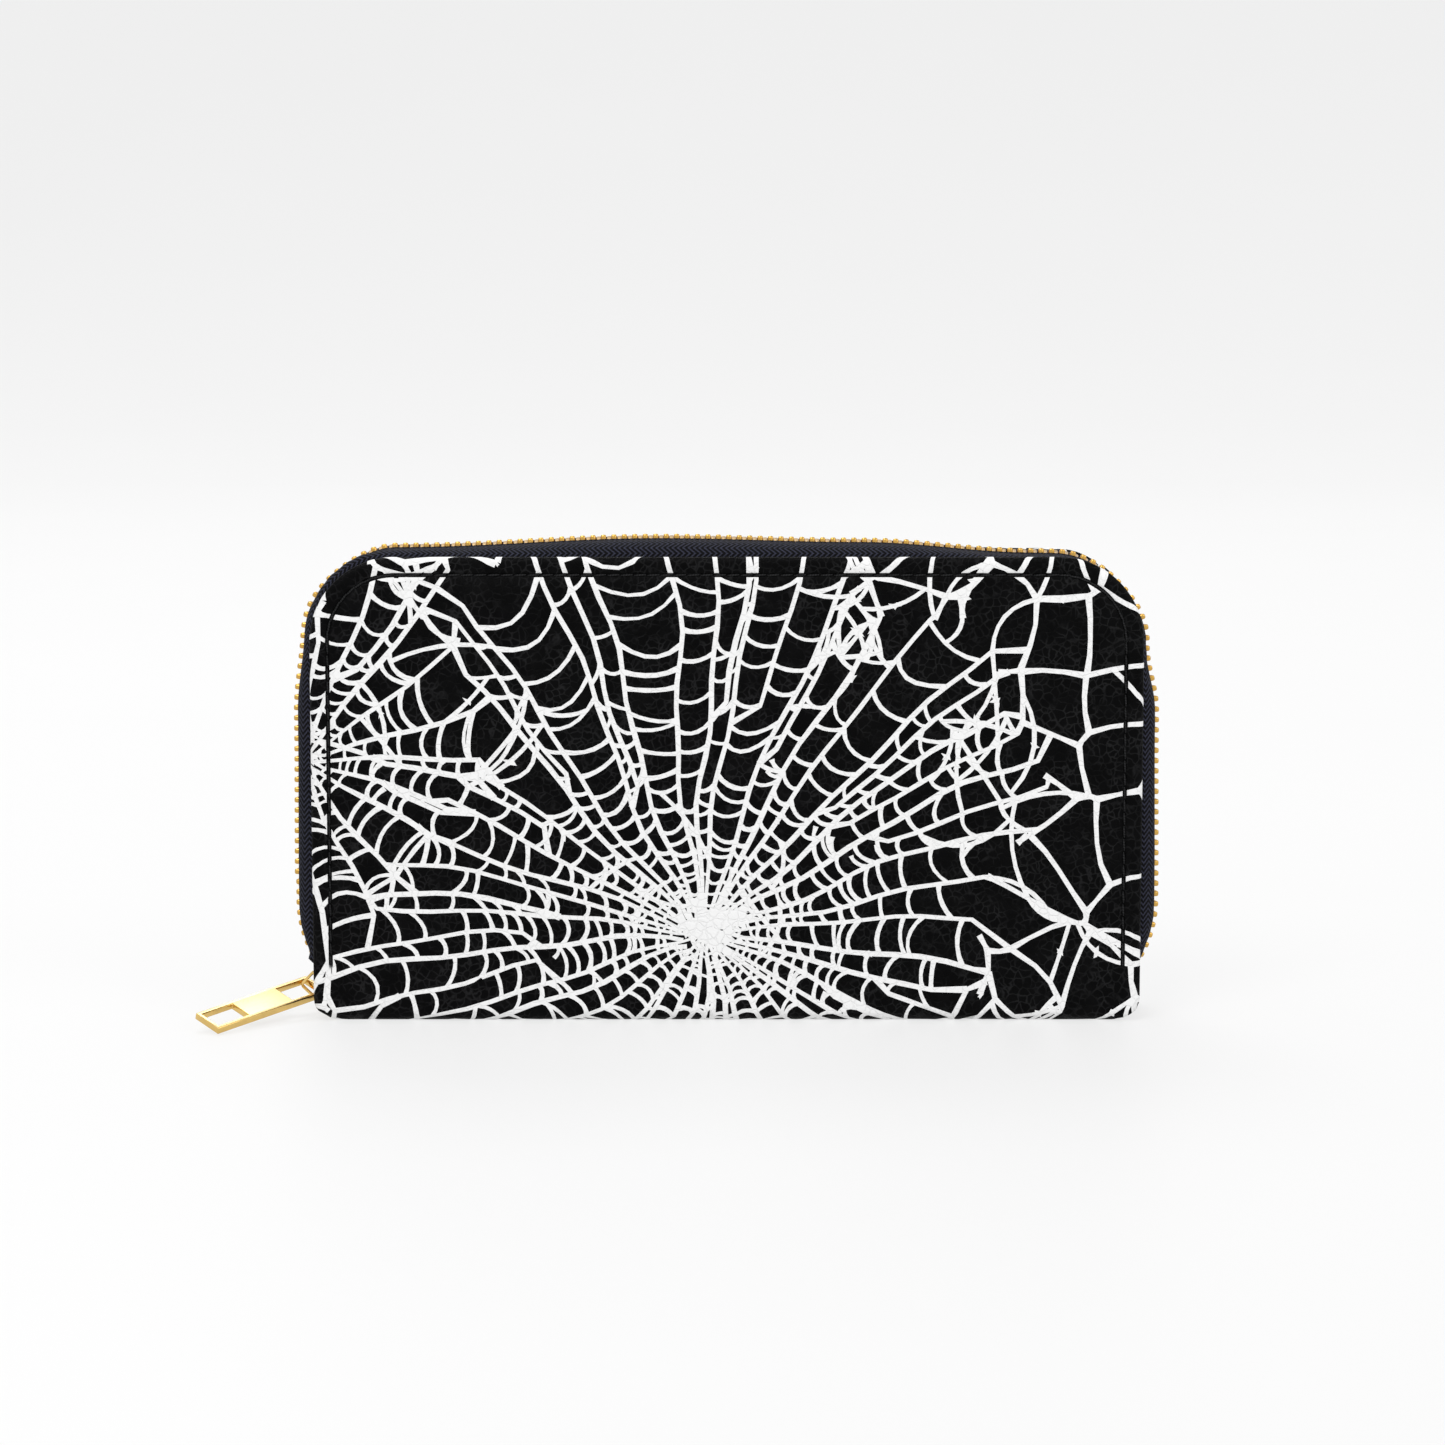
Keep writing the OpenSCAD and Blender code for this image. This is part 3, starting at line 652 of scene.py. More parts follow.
def grid_points(step=5.5 * MM):
    inner = SEAM_IN + 2.2 * MM
    columns, rows = int(HALF_W / step), int(WHOLE_V / step)
    folds = [PANEL_V + FOLD_V * i / 6 for i in range(7)]
    levels = [step * j for j in range(rows + 1)] + folds + [WHOLE_V - v for v in folds]
    return [Vector((i * step, v)) for i in range(-columns, columns + 1) for v in levels
            if edge_distance(i * step, v)[0] > inner]


def cut_pattern():
    points, edges, faces = list(grid_points()), [], []
    for d in rim_rings:
        ring = ring_points(d)
        start = len(points)
        points += ring
        edges += [(start + i, start + (i + 1) % len(ring)) for i in range(len(ring))]
    middle = len(points)
    points += [Vector((-HALF_W - 0.01, WHOLE_V / 2)), Vector((HALF_W + 0.01, WHOLE_V / 2))]
    edges.append((middle, middle + 1))
    shapes = [quad for line, widths in web_lines for quad in strip_quads(line, widths)]
    for shape in shapes + [f for f in web_fills if len(f) > 4 or turns_left(f)]:
        start = len(points)
        points += shape
        faces.append(tuple(range(start, start + len(shape))))
    return delaunay_2d_cdt(points, edges, faces, 0, 1e-7, True)


cut = cut_pattern()
print("pattern cut into", len(cut[2]), "faces")


# %% Wrapping the two halves of the skin
OUTER = lip_rings[-1]


def make_skin(name, front):
    mesh = bpy.data.meshes.new(name)
    points, faces, sources = cut[0], cut[2], cut[5]
    kept, inked = [], []
    for face, source in zip(faces, sources):
        middle = sum((points[i] for i in face), Vector((0, 0))) / 3
        if (middle.y < WHOLE_V / 2) != front or edge_distance(*middle)[0] < OUTER - 1e-7:
            continue
        kept.append(face)
        # Painted shade: strip faces in the seam groove keep the black leather, so the groove shows
        # dark.
        sunk = abs(edge_distance(*middle)[0] - SEAM_IN) < GROOVE_SHADE_W
        inked.append(1 if source and not (sunk and section(middle.y)[1] > SEAM_FOOT) else 0)
    used = sorted({i for f in kept for i in f})
    new = {old: n for n, old in enumerate(used)}
    mesh.from_pydata([wrap(*points[i]) for i in used], [],
                     [tuple(new[i] for i in f) for f in kept])
    mesh.materials.append(black_leather)
    mesh.materials.append(white_print)
    mesh.polygons.foreach_set("material_index", inked)
    skin = bpy.data.objects.new(name, mesh)
    bpy.context.scene.collection.objects.link(skin)
    bpy.ops.object.select_all(action="DESELECT")
    skin.select_set(True)
    bpy.context.view_layer.objects.active = skin
    bpy.ops.object.mode_set(mode="EDIT")
    bpy.ops.mesh.select_all(action="SELECT")
    bpy.ops.mesh.remove_doubles(threshold=2e-6)
    bpy.ops.mesh.normals_make_consistent(inside=False)
    bpy.ops.object.mode_set(mode="OBJECT")
    bpy.ops.object.shade_smooth()
    print(name, len(mesh.polygons), "faces")
    return skin


front_skin = make_skin("front_leather", True)
back_skin = make_skin("back_leather", False)
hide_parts("front_cover", "spine_cover")
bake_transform(front_skin)
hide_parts("back_cover")
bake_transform(back_skin)

# %% [markdown]
# ## Metal, thread and cloth finishes
# The metal is a warm plated gold; where a finger rubs it is polished, and the pull's flat faces have a
# finer, duller grain. The teeth and stops get a darker copy of the same gold: painted shade. The zip
# tape is woven in a herringbone, drawn from its own UV map in metres, so the weave keeps its size
# round the corners.

# %% Finishes
def gold(name, rough, brushed=0.0, tint=(0.86, 0.60, 0.22)):
    board = Board(name, Metallic=1.0)
    spot = board.place()
    worn = board.noise(spot, 240.0)
    grain = board.noise(spot, 2400.0, 2)
    dull = tuple(c * 0.86 for c in tint)
    board.set(Base_Color=board.ramp(worn, (0.3, dull), (0.7, tint)),
              Roughness=board.spread(worn + grain * brushed, 0.2, 1.2, rough, rough + 0.12))
    board.bump(grain * (0.2 + brushed) + worn, 0.012 * MM)
    return board.material


def herringbone(name, low, high):
    board = Board(name, Roughness=0.85, Specular_IOR_Level=0.12)
    along, across, _ = (board.node("ShaderNodeSeparateXYZ", None, {0: board.uv()}, out=i)
                        for i in range(3))
    column = (across / (2.9 * MM)).math("FRACT", across / (2.9 * MM))
    zigzag = (column - 0.5).math("ABSOLUTE", column - 0.5)
    phase = along / (1.25 * MM) + zigzag * 2.6
    thread = phase.math("SINE", phase * 2 * math.pi)
    rib = thread.math("SINE", (across / (0.42 * MM)) * 2 * math.pi)
    fuzz = board.noise(board.place(), 900.0)
    weave_relief_and_shade = board.spread(thread, -1.0, 1.0) * 0.75 + board.spread(rib, -1.0, 1.0) * 0.25
    # The colour follows the weave's relief: darker where the threads lie low, which is painted shade,
    # and lighter on their crests, which is painted sheen. The fuzz adds tone that differs at random.
    board.set(Base_Color=board.ramp(weave_relief_and_shade * 0.8 + fuzz * 0.3, (0.5, low), (0.92, high)),
              Roughness=board.spread(fuzz, 0.0, 1.0, 0.75, 0.95))
    board.bump(weave_relief_and_shade + fuzz * 0.2, 0.16 * MM)
    return board.material


def woven(name, low, high, pitch):
    board = Board(name, Roughness=0.9, Specular_IOR_Level=0.1)
    x, y, z = (board.node("ShaderNodeSeparateXYZ", None, {0: board.place()}, out=i)
               for i in range(3))
    warp = x.math("SINE", (x + y) * (2 * math.pi / pitch))
    weft = x.math("SINE", (z + y * 0.6) * (2 * math.pi / pitch))
    slub = board.noise(board.place(), 700.0)
    height = board.spread(warp * weft, -1.0, 1.0)
    # The colour follows the weave's height: darker where the threads lie low, which is painted shade.
    # The slub adds tone that differs at random.
    board.set(Base_Color=board.ramp(height * 0.6 + slub * 0.5, (0.2, low), (0.9, high)),
              Roughness=board.spread(slub, 0.0, 1.0, 0.8, 0.95))
    board.bump(height + slub * 0.4, 0.08 * MM)
    return board.material


def twisted(name, low, high):
    board = Board(name, Roughness=0.7, Specular_IOR_Level=0.2)
    along, across, _ = (board.node("ShaderNodeSeparateXYZ", None, {0: board.uv()}, out=i)
                        for i in range(3))
    ply = along.math("SINE", along * 9.0 + across * 2 * math.pi)
    fuzz = board.noise(board.place(), 2500.0)
    # The colour follows the twist: darker in the grooves between the plies, which is painted shade. The
    # fuzz adds tone that differs at random.
    board.set(Base_Color=board.ramp(board.spread(ply, -1.0, 1.0) * 0.7 + fuzz * 0.4,
                                    (0.2, low), (0.9, high)),
              Roughness=board.spread(fuzz, 0.0, 1.0, 0.6, 0.8))
    board.bump(board.spread(ply, -1.0, 1.0), 0.05 * MM)
    return board.material


def greyboard(name):
    board = Board(name, Roughness=0.92)
    spot = board.place()
    fibre = board.noise(spot, 500.0, 6)
    fleck = board.cells(spot, 900.0)
    board.set(Base_Color=board.ramp(fibre * 0.7 + fleck * 0.3, (0.3, (0.13, 0.12, 0.10)),
                                    (0.7, (0.27, 0.25, 0.21))),
              Roughness=board.spread(fibre, 0.0, 1.0, 0.85, 0.98))
    board.bump(fibre, 0.05 * MM)
    return board.material


# The teeth and stops take a darker copy of the same plated gold: painted shade.
bead_gold_painted_dark = gold("bead_gold_painted_dark", 0.26, 0.0, (0.66, 0.40, 0.10))
polished_gold = gold("polished_gold", 0.12, 0.0, (0.80, 0.55, 0.19))
brushed_gold = gold("brushed_gold", 0.3, 0.6, (0.80, 0.62, 0.30))
tape_weave = herringbone("tape_weave", (0.0006, 0.0006, 0.0012), (0.032, 0.034, 0.055))
lining_weave = woven("lining_weave", (0.006, 0.006, 0.008), (0.022, 0.022, 0.027), 0.42 * MM)
gusset_weave = woven("gusset_weave", (0.007, 0.007, 0.009), (0.03, 0.03, 0.036), 0.3 * MM)
card_leather = leather("card_leather", (0.006, 0.006, 0.0065), (0.014, 0.014, 0.015), 0.5)
seam_thread = twisted("seam_thread", (0.0015, 0.0015, 0.0018), (0.012, 0.012, 0.013))
board_paper = greyboard("board_paper")
print("finishes:", len(bpy.data.materials))

# %% [markdown]
# ## Round the rim
# The zip follows the covers' outline, so places along it are given by how far round the rim they
# lie, and how far out from it. The chain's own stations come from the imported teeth: the middle of
# each tooth, and the way to its neighbours.

# %% Rim places and tooth stations
SIDE_S = HEIGHT - TOP_R
ARC_S = TOP_R * math.pi / 2
TOP_S = 2 * (HALF_W - TOP_R)
RIM_S = 2 * SIDE_S + 2 * ARC_S + TOP_S


def rim_coordinates(x, z):
    """(how far round, how far out) of a place in the wallet's middle plane."""
    cx, cz = abs(x) - (HALF_W - TOP_R), z - SIDE_S
    if cz <= 0:
        s, out = z, abs(x) - HALF_W
    elif cx <= 0:
        s, out = SIDE_S + ARC_S + TOP_S / 2 - abs(x), z - HEIGHT
    else:
        s, out = SIDE_S + TOP_R * math.atan2(cz, cx), math.hypot(cx, cz) - TOP_R
    return (s if x < 0 else RIM_S - s), out


def rim_place(s, out, y):
    side, t = (-1, s) if s < RIM_S / 2 else (1, RIM_S - s)
    if t < SIDE_S:
        return Vector((side * (HALF_W + out), y, t))
    if t < SIDE_S + ARC_S:
        a = (t - SIDE_S) / TOP_R
        r = TOP_R + out
        return Vector((side * (HALF_W - TOP_R + r * math.cos(a)), y, SIDE_S + r * math.sin(a)))
    return Vector((side * (HALF_W - TOP_R - (t - SIDE_S - ARC_S)), y, HEIGHT + out))


def solid_parts(node):
    """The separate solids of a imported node, each as its merged points."""
    mesh = bmesh.new()
    mesh.from_mesh(bpy.data.objects[node].data)
    mesh.transform(bpy.data.objects[node].matrix_world)
    bmesh.ops.remove_doubles(mesh, verts=mesh.verts, dist=1e-6)
    left, parts = set(mesh.verts), []
    for first in mesh.verts:
        if first not in left:
            continue
        left.remove(first)
        queue, part = [first], []
        while queue:
            v = queue.pop()
            part.append(v.co.copy())
            for e in v.link_edges:
                other = e.other_vert(v)
                if other in left:
                    left.remove(other)
                    queue.append(other)
        parts.append(part)
    mesh.free()
    return parts


def box_middle(part):
    return Vector([(min(p[i] for p in part) + max(p[i] for p in part)) / 2 for i in range(3)])


def select_only(*objects):
    bpy.ops.object.select_all(action="DESELECT")
    for o in objects:
        o.select_set(True)
    bpy.context.view_layer.objects.active = objects[0]


@contextmanager
def editing(obj):
    """The object in edit mode, with all of its mesh selected."""
    select_only(obj)
    bpy.ops.object.mode_set(mode="EDIT")
    bpy.ops.mesh.select_all(action="SELECT")
    yield
    bpy.ops.object.mode_set(mode="OBJECT")


def finished(obj, body, node=None, smooth=35):
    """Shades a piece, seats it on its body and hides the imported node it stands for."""
    select_only(obj)
    bpy.ops.object.shade_smooth_by_angle(angle=math.radians(smooth))
    if body:
        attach(obj, body)
    if node:
        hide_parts(node)
    return obj


def mesh_object(name, points, faces, *materials):
    mesh = bpy.data.meshes.new(name)
    mesh.from_pydata([tuple(p) for p in points], [], faces)
    for m in materials:
        mesh.materials.append(m)
    obj = bpy.data.objects.new(name, mesh)
    bpy.context.scene.collection.objects.link(obj)
    return obj


# %% [markdown]
# ## The teeth
# One tooth is shaped from a cube: a rounded heel clamped on the tape's cord and a narrower nose.
# A row is that one tooth set down at every station.

# %% Teeth
def shaped_tooth(length, depth, height, nose):
    bpy.ops.object.select_all(action="DESELECT")
    bpy.ops.mesh.primitive_cube_add(size=1)
    tooth = bpy.context.object
    bpy.ops.object.mode_set(mode="EDIT")
    bpy.ops.mesh.select_all(action="SELECT")
    bpy.ops.transform.resize(value=(length, depth, height))
    bpy.ops.mesh.bevel(offset=0.3 * length, segments=2, affect="EDGES")
    bpy.ops.object.mode_set(mode="OBJECT")
    for v in tooth.data.vertices:
        if v.co.y > -0.1 * depth:
            v.co.x *= nose
            v.co.z *= 0.66
    mesh = tooth.data
    bpy.data.objects.remove(tooth)
    return [v.co.copy() for v in mesh.vertices], [tuple(f.vertices) for f in mesh.polygons]


# How far a row's shaped teeth sit below its plain ones; the rows at the foot keep their place.
SUNK = {"zip_teeth_front": -0.3 * MM, "zip_teeth_back": 0.5 * MM}


def row_of_teeth(node, body, tooth, axis=None):
    points, faces = tooth
    side = -1 if "front" in node else 1
    sunk = SUNK.get(node, 0.0)
    spots = [box_middle(part) for part in solid_parts(node)]
    spots.sort(key=lambda p: p.x if axis else rim_coordinates(p.x, p.z)[0])
    row_points, row_faces = [], []
    for i, spot in enumerate(spots):
        along = axis or (spots[min(i + 1, len(spots) - 1)] - spots[max(i - 1, 0)]).normalized()
        out = Vector((-along.z, 0, along.x))
        inward = Vector((0, -side, 0))
        start = len(row_points)
        row_points += [spot + along * p.x + inward * p.y + out * (p.z - sunk) for p in points]
        turned = (along.cross(inward)).dot(out) < 0
        row_faces += [tuple(start + k for k in (reversed(f) if turned else f)) for f in faces]
    row = mesh_object(node + "_beads", row_points, row_faces, bead_gold_painted_dark)
    return finished(row, body, node, 50), spots


tooth = shaped_tooth(1.3 * MM, 3.8 * MM, 2.45 * MM, 0.7)
stations = []
for half in ("front", "back"):
    for part in ("", "_foot"):
        row, spots = row_of_teeth(f"zip_teeth_{half}{part}", f"{half}_half", tooth)
        stations += spots
chain_table = sorted(rim_coordinates(p.x, p.z) for p in stations)
print("teeth:", len(stations), "with", len(tooth[1]), "faces each")

# %% [markdown]
# ## The zip tapes
# Each tape is lofted: its flange is glued flat under the turned edge, then it rolls out of the rim
# and lies flat up to the cord that the teeth are clamped on. The sewing puckers it a little.

# %% Tapes
TAPE_Y = 10.45 * MM
TAPE_T = 0.24 * MM


def chain_out(s):
    if s <= chain_table[0][0] or s >= chain_table[-1][0]:
        a, b = (chain_table[0], chain_table[2]) if s < RIM_S / 2 else (chain_table[-3], chain_table[-1])
    else:
        n = next(i for i, (t, _) in enumerate(chain_table) if t > s)
        a, b = chain_table[n - 1], chain_table[n]
    t = (s - a[0]) / max(1e-9, b[0] - a[0])
    return a[1] + (b[1] - a[1]) * t


def tape_section(b, pucker, hump_size):
    """Points of the tape's middle line, as (y, out, half thickness)."""
    e = (0.6 * b if b < 0 else 0.0) - 1 * MM
    hump = hump_size * math.exp(-((b - 0.2 * MM) / (0.6 * MM)) ** 2)
    line = [(TAPE_Y, -6.6 * MM, TAPE_T), (TAPE_Y, -4 * MM, TAPE_T)]
    knots = [(TAPE_Y, e), (TAPE_Y - 0.1 * MM, e + 1.2 * MM + hump + max(0, b) * 0.35),
             (8.0 * MM, b + 1.3 * hump + 0.1 * MM), (5.2 * MM, b)]
    for i in range(9):
        t = i / 8
        w = ((1 - t)**3, 3 * t * (1 - t)**2, 3 * t * t * (1 - t), t**3)
        y, out = (sum(w[k] * knots[k][c] for k in range(4)) for c in (0, 1))
        line.append((y, out + pucker * math.sin(math.pi * t), TAPE_T))
    return line + [(4.1 * MM, b, TAPE_T), (3.5 * MM, b, 0.3 * MM), (3.1 * MM, b, 0.52 * MM),
                   (2.85 * MM, b, 0.5 * MM), (2.7 * MM, b, 0.3 * MM)]


def sheet_loop(line):
    """Both sides of a middle line as one closed loop of (y, out), with its length so far."""
    outer, inner, run = [], [], 0.0
    for i, (y, out, half) in enumerate(line):
        a, b = line[max(i - 1, 0)], line[min(i + 1, len(line) - 1)]
        way = Vector((b[0] - a[0], b[1] - a[1])).normalized()
        run += math.hypot(y - line[max(i - 1, 0)][0], out - line[max(i - 1, 0)][1])
        outer.append((y + way.y * half, out - way.x * half, run))
        inner.append((y - way.y * half, out + way.x * half, run))
    return outer + inner[::-1]


def tube_faces(n, m):
    """Faces of a closed tube of m rings with n points each, its two ends capped."""
    return [(j * n + i, j * n + (i + 1) % n, (j + 1) * n + (i + 1) % n, (j + 1) * n + i)
            for j in range(m - 1) for i in range(n)] \
        + [tuple(range(n))[::-1], tuple(range((m - 1) * n, m * n))]


def loft(name, rings, runs, *materials):
    """A closed skin through equal rings of (point, across); UV is (along, across) in metres."""
    points = [p for ring in rings for p, _ in ring]
    n = len(rings[0])
    obj = mesh_object(name, points, tube_faces(n, len(rings)), *materials)
    layer = obj.data.uv_layers.new(name="UVMap")
    for face in obj.data.polygons:
        for loop in face.loop_indices:
            v = obj.data.loops[loop].vertex_index
            layer.data[loop].uv = (runs[v // n], rings[v // n][v % n][1])
    with editing(obj):
        bpy.ops.mesh.normals_make_consistent(inside=False)
    return obj


def zip_tape(half):
    side = -1 if half == "front" else 1
    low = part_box(f"zip_tape_{half}")[0][2]
    count = 330
    runs = [low + (RIM_S - 2 * low) * i / count for i in range(count + 1)]
    rings = []
    for s in runs:
        pucker = (0.10 * math.sin(s * 1500) + 0.07 * math.sin(s * 410 + side)) * MM
        hump = 1.25 * MM if half == "front" and s < RIM_S / 2 else 0.0
        ring = sheet_loop(tape_section(chain_out(s), pucker, hump))
        rings.append([(rim_place(s, out, side * y), run) for y, out, run in ring])
    tape = loft(f"tape_{half}_cloth", rings, runs, tape_weave)
    return finished(tape, f"{half}_half", f"zip_tape_{half}", 60)


for half in ("front", "back"):
    print(zip_tape(half).name, "is", len(bpy.data.objects[f"tape_{half}_cloth"].data.polygons), "faces")

# %% [markdown]
# ## The metal fittings
# The slider, its bridge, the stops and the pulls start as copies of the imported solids. Their flat
# sides are joined up, and every hard edge is rounded over so that it catches the light.

# %% Fittings
def packed_copy(node, name, material):
    obj = bpy.data.objects[node].copy()
    obj.data = obj.data.copy()
    obj.name = obj.data.name = name
    bpy.context.scene.collection.objects.link(obj)
    obj.data.materials.clear()
    obj.data.materials.append(material)
    select_only(obj)
    bpy.ops.object.parent_clear(type="CLEAR_KEEP_TRANSFORM")
    bpy.ops.object.transform_apply(location=True, rotation=True, scale=True)
    with editing(obj):
        bpy.ops.mesh.remove_doubles(threshold=1e-6)
        bpy.ops.mesh.dissolve_limited(angle_limit=math.radians(1))
    return obj


def rounded(obj, width, segments=3):
    edge = obj.modifiers.new("rounded", "BEVEL")
    edge.width, edge.segments = width, segments
    edge.limit_method, edge.angle_limit = "ANGLE", math.radians(32)
    edge.harden_normals = False
    select_only(obj)
    bpy.ops.object.modifier_apply(modifier="rounded")
    return obj


def fitting(node, body, width, material):
    obj = packed_copy(node, node + "_metal", material)
    return finished(rounded(obj, width), body, node, 40)


for node, body, width, metal in (
        ("zip_slider_body", "zip_slider", 0.22, polished_gold),
        ("zip_slider_bridge", "zip_slider", 0.16, polished_gold),
        ("zip_top_stop_front", "front_half", 0.25, bead_gold_painted_dark),
        ("zip_top_stop_back", "back_half", 0.25, bead_gold_painted_dark),
        ("zip_bottom_stop", "root", 0.2, bead_gold_painted_dark),
        ("coin_slider_body", "coin_slider", 0.15, polished_gold),
        ("coin_slider_bridge", "coin_slider", 0.12, polished_gold),
        ("coin_pull", "coin_pull", 0.18, polished_gold),
        ("coin_stops", "root", 0.15, bead_gold_painted_dark)):
    fitting(node, body, width * MM, metal)
pull = fitting("zip_pull", "zip_pull", 0.22 * MM, polished_gold)
pull.data.materials.append(brushed_gold)
broad = max(pull.data.polygons, key=lambda f: f.area).normal.copy()
for face in pull.data.polygons:
    if abs(face.normal.dot(broad)) > 0.999:
        face.material_index = 1
print("fittings done; the pull has", len(pull.data.polygons), "faces")

# %% [markdown]
# ## The stitching
# One stitch is a short length of thread that rises out of the leather, lies along the groove and
# goes back in. It is set down where each packed stitch lies.

# %% Stitches
STITCH_SIDES = 7


def shaped_stitch(length, thick, rise, rings=7, sides=STITCH_SIDES):
    points = []
    for i in range(rings):
        t = i / (rings - 1)
        arch = rise * (1 - (2 * t - 1) ** 4)
        fat = thick * (0.55 + 0.45 * math.sin(math.pi * t) ** 0.5)
        for k in range(sides):
            a = 2 * math.pi * k / sides
            points.append(Vector(((t - 0.5) * length, fat * math.cos(a), arch + fat * math.sin(a))))
    return points, [f[::-1] for f in tube_faces(sides, rings)]


def seam(name, spots, out, stitch, material, skew=0.0):
    """Stitches at (place, way along) spots; `out` is the way off the face."""
    points, faces = [], []
    for spot, along in spots:
        across = out.cross(along)
        way = (along + across * skew).normalized()
        across = out.cross(way)
        start = len(points)
        points += [spot + way * p.x + across * p.y + out * p.z for p in stitch[0]]
        faces += [tuple(start + k for k in f) for f in stitch[1]]
    obj = mesh_object(name, points, faces, material)
    layer = obj.data.uv_layers.new(name="UVMap")
    size = len(stitch[0])
    for face in obj.data.polygons:
        for loop in face.loop_indices:
            k = obj.data.loops[loop].vertex_index % size
            layer.data[loop].uv = (k // STITCH_SIDES / 2, k % STITCH_SIDES / STITCH_SIDES)
    return obj


def long_way(part):
    middle = box_middle(part)
    far = max(part, key=lambda p: (p - middle).length)
    side = [p for p in part if (p - far).length < 0.9 * MM]
    end = sum(side, Vector()) / len(side)
    way = end - middle
    way.y = 0
    return way.normalized()


rim_stitch = shaped_stitch(2.7 * MM, 0.26 * MM, 0.1 * MM)
for half, side in (("front", -1), ("back", 1)):
    spots = []
    for part in solid_parts(f"{half}_stitching"):
        middle = box_middle(part)
        middle.y = side * (FACE_Y - 0.34 * MM)
        way = long_way(part)
        s, _ = rim_coordinates(middle.x, middle.z)
        ahead = rim_place(s + 1 * MM, 0, 0) - rim_place(s - 1 * MM, 0, 0)
        spots.append((middle, way if way.dot(ahead) > 0 else -way))
    thread = seam(f"{half}_seam_thread", spots, Vector((0, side, 0)), rim_stitch, seam_thread,
                  0.07)
    finished(thread, f"{half}_half", f"{half}_stitching", 60)
    print(thread.name, len(spots), "stitches")

# %% [markdown]
# ## The inside
# Linings, boards, card tiers, gussets and the coin pocket are cut sheets. Each has its edge rolled
# over, the way a turned or bound edge is, and the tiers and the coin pocket are sewn along the top.

# %% Sheets
def sheet_piece(node, body, material, width):
    obj = packed_copy(node, node + "_sheet", material)
    return finished(rounded(obj, width), body, node, 40)


for half in ("front", "back"):
    body = f"{half}_half"
    sheet_piece(f"{half}_board", body, board_paper, 0.12 * MM)
    sheet_piece(f"{half}_lining", body, lining_weave, 0.12 * MM)
    sheet_piece(f"{half}_card_backing", body, card_leather, 0.12 * MM)
    for tier in range(1, 5):
        sheet_piece(f"{half}_card_tier_{tier}", body, card_leather, 0.2 * MM)
sheet_piece("spine_board", "root", board_paper, 0.12 * MM)
sheet_piece("spine_lining", "root", lining_weave, 0.1 * MM)
for half in ("front", "back"):
    sheet_piece(f"coin_pocket_{half}", "root", gusset_weave, 0.25 * MM)
sheet_piece("coin_pocket_base", "root", gusset_weave, 0.25 * MM)

# %% Sewn pocket edges
pocket_stitch = shaped_stitch(2.1 * MM, 0.2 * MM, 0.12 * MM)


def sewn_edge(node, body, drop=2.2 * MM, pitch=2.8 * MM):
    """Stitches along the top of a pocket: a tier's inner face, or the coin pocket's outer face."""
    low, high = (Vector(c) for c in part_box(node))
    inner = 1 if abs(high.y) < abs(low.y) else -1
    if node.startswith("coin"):
        inner = -inner
    y = high.y if inner > 0 else low.y
    count = int((high.x - low.x - 8 * MM) / pitch)
    spots = [(Vector(((i - count / 2) * pitch, y - inner * 0.06 * MM, high.z - drop)),
              Vector((1, 0, 0))) for i in range(count + 1)]
    thread = seam(node + "_thread", spots, Vector((0, inner, 0)), pocket_stitch, seam_thread, 0.05)
    return finished(thread, body, None, 60)


for half in ("front", "back"):
    for tier in range(1, 5):
        sewn_edge(f"{half}_card_tier_{tier}", f"{half}_half")
    sewn_edge(f"coin_pocket_{half}", "root", 3.4 * MM)

# %% [markdown]
# ## Gussets and the coin pocket's zip
# A gusset joins the coin pocket, which stays with the spine, to a cover, which swings. Its copy is
# subdivided and left on neither body. The coin zip is a smaller chain between two narrow tapes.

# %% Gussets and coin zip
for place in ("left", "right"):
    for half, side in (("front", -1), ("back", 1)):
        node = f"gusset_{place}_{half}"
        cloth = packed_copy(node, node + "_cloth", gusset_weave)
        rounded(cloth, 0.1 * MM, 2)
        for _ in range(2):
            with editing(cloth):
                bpy.ops.mesh.subdivide()
        finished(cloth, None, node, 40)
        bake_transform(cloth)
for half in ("front", "back"):
    sheet_piece(f"coin_tape_{half}", "root", gusset_weave, 0.1 * MM)
coin_tooth = shaped_tooth(1.0 * MM, 2.4 * MM, 1.5 * MM, 0.75)
for half in ("front", "back"):
    row, _ = row_of_teeth(f"coin_teeth_{half}", "root", coin_tooth, Vector((1, 0, 0)))

# %% [markdown]
# ## Floor, light and camera
# A pale seamless floor, one big soft light from above and in front, and a weaker one from each
# side. The camera looks at the front from a little above.

# %% Stage
FLOOR_WHITE = 0.16
FLOOR_GLOW = 0.69


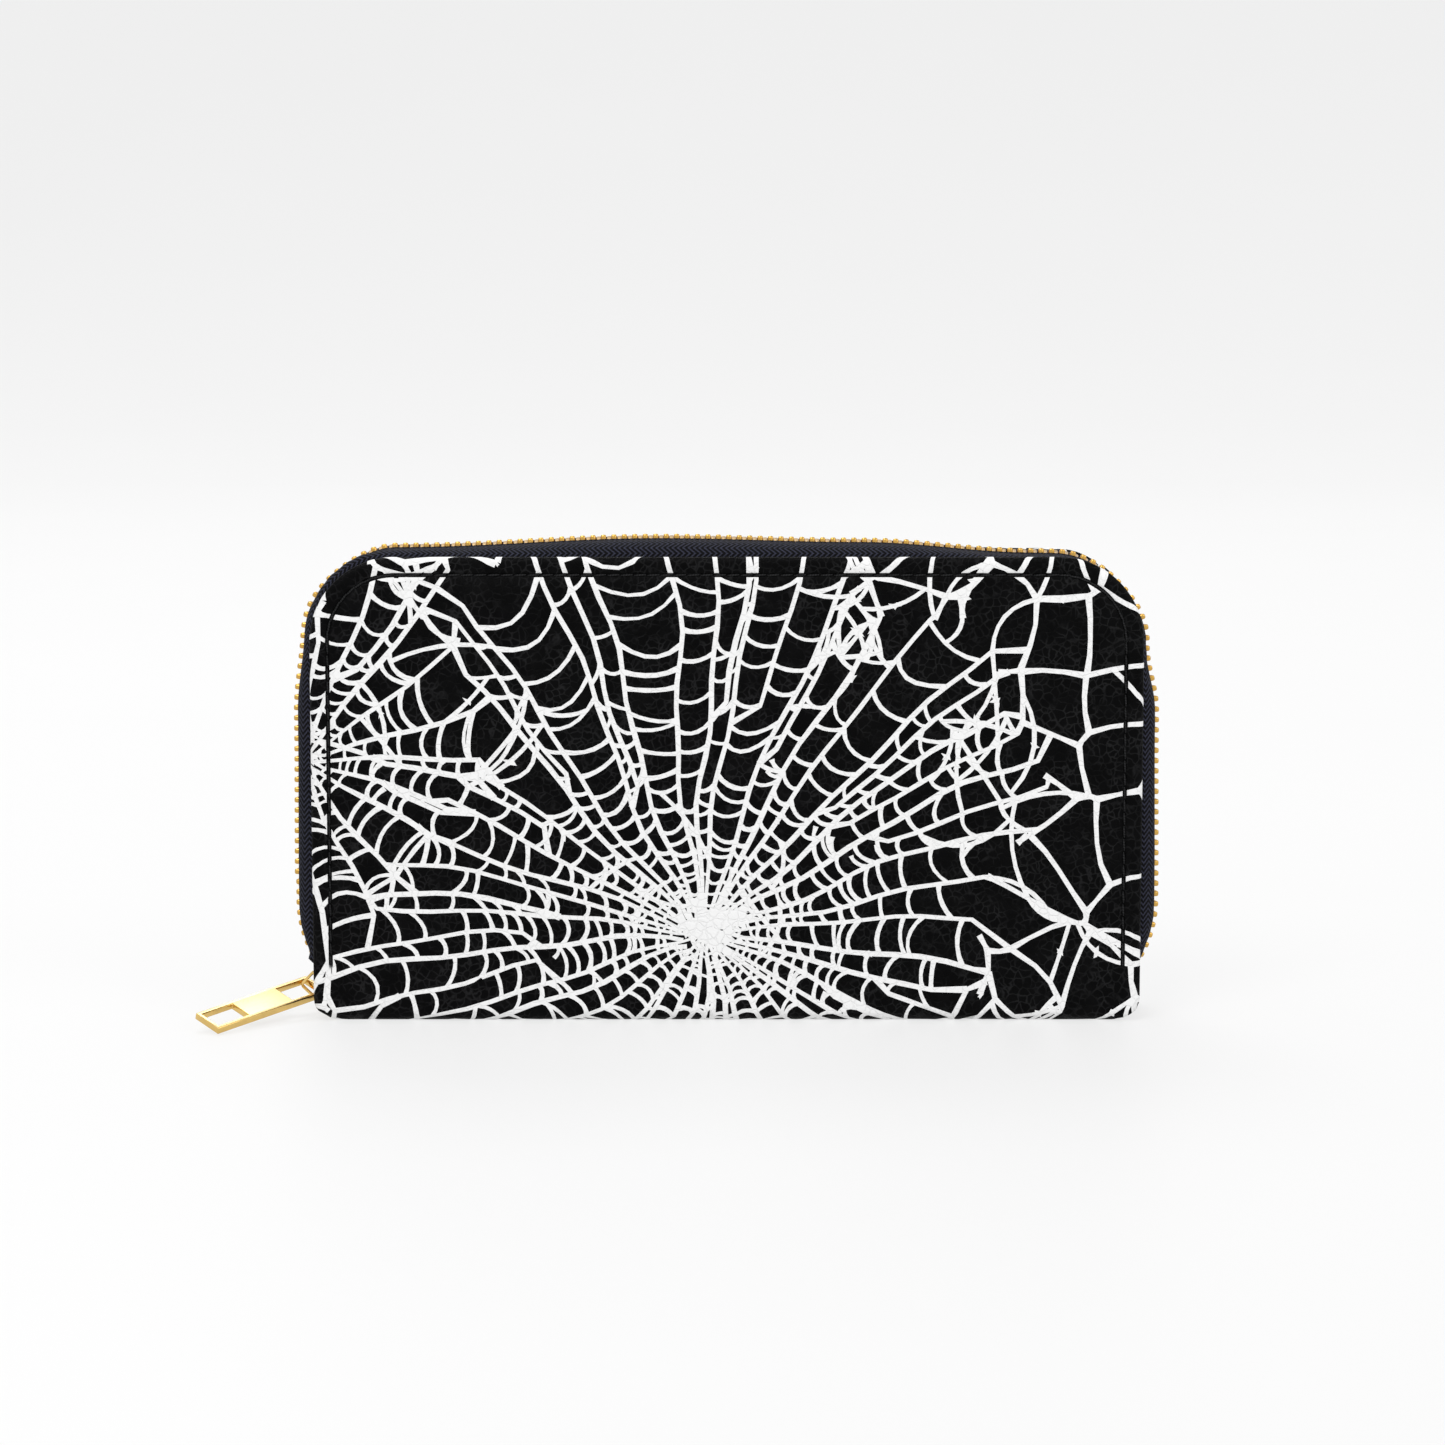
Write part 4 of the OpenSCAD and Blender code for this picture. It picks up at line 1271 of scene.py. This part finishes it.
def stage_floor():
    """A floor that sweeps up behind into a wall, so that no horizon shows."""
    bpy.ops.object.select_all(action="DESELECT")
    bpy.ops.mesh.primitive_plane_add(size=6, location=(0, -1.6, 0))
    floor = bpy.context.object
    floor.name = "floor"
    bpy.ops.object.mode_set(mode="EDIT")
    bpy.ops.mesh.select_all(action="DESELECT")
    bpy.ops.object.mode_set(mode="OBJECT")
    for v in floor.data.vertices:
        v.select = v.co.y > 0
    bpy.ops.object.mode_set(mode="EDIT")
    turn, radius, steps = math.pi / 2, 1.6, 16
    for i in range(steps):
        a = turn * (i + 0.5) / steps
        step = radius * turn / steps
        bpy.ops.mesh.extrude_region_move(
            TRANSFORM_OT_translate={"value": (0, step * math.cos(a), step * math.sin(a))})
    bpy.ops.mesh.extrude_region_move(TRANSFORM_OT_translate={"value": (0, 0, 2)})
    bpy.ops.object.mode_set(mode="OBJECT")
    bpy.ops.object.shade_smooth()
    board = Board("pale_floor", Roughness=0.5, Specular_IOR_Level=0.1, Emission_Strength=FLOOR_GLOW)
    tint = board.noise(board.place(), 3.0)
    board.set(Base_Color=board.ramp(tint, (0.2, (FLOOR_WHITE,) * 3), (0.8, (FLOOR_WHITE * 1.02,) * 3)),
              Emission_Color=board.ramp(tint, (0.2, (0.99, 0.99, 0.99)), (0.8, (1.0, 1.0, 1.0))))
    floor.data.materials.append(board.material)


def lamp(name, place, target, size, power):
    data = bpy.data.lights.new(name, "AREA")
    data.shape, data.size, data.energy = "DISK", size, power
    lit = bpy.data.objects.new(name, data)
    lit.location = place
    lit.rotation_euler = (Vector(target) - Vector(place)).to_track_quat("-Z", "Y").to_euler()
    bpy.context.scene.collection.objects.link(lit)


stage_floor()
lamp("key", (-0.5, -1.1, 1.5), (0, 0, 0.05), 1.0, 14)
lamp("fill", (1.2, -0.9, 0.9), (0, 0, 0.05), 1.0, 6)
lamp("rim", (-0.3, 1.0, 1.3), (0, 0, 0.1), 0.8, 8)
world = bpy.data.worlds.new("studio")
world.use_nodes = True
world.node_tree.nodes["Background"].inputs["Color"].default_value = (0.92, 0.92, 0.92, 1)
world.node_tree.nodes["Background"].inputs["Strength"].default_value = 1.0
bpy.context.scene.world = world
bpy.context.scene.view_settings.view_transform = "Standard"

# %% Camera
LIFT = math.radians(7.5)
DISTANCE = 1.0
VIEW_W = 0.338
aim = Vector((-0.001, -FACE_Y, 0.0712))
camera_data = bpy.data.cameras.new("camera")
camera_data.sensor_width = 36
camera_data.lens = 36 * DISTANCE / VIEW_W
camera = bpy.data.objects.new("camera", camera_data)
camera.location = aim + DISTANCE * Vector((0, -math.cos(LIFT), math.sin(LIFT)))
camera.rotation_euler = (math.pi / 2 - LIFT, 0, 0)
bpy.context.scene.collection.objects.link(camera)
bpy.context.scene.camera = camera
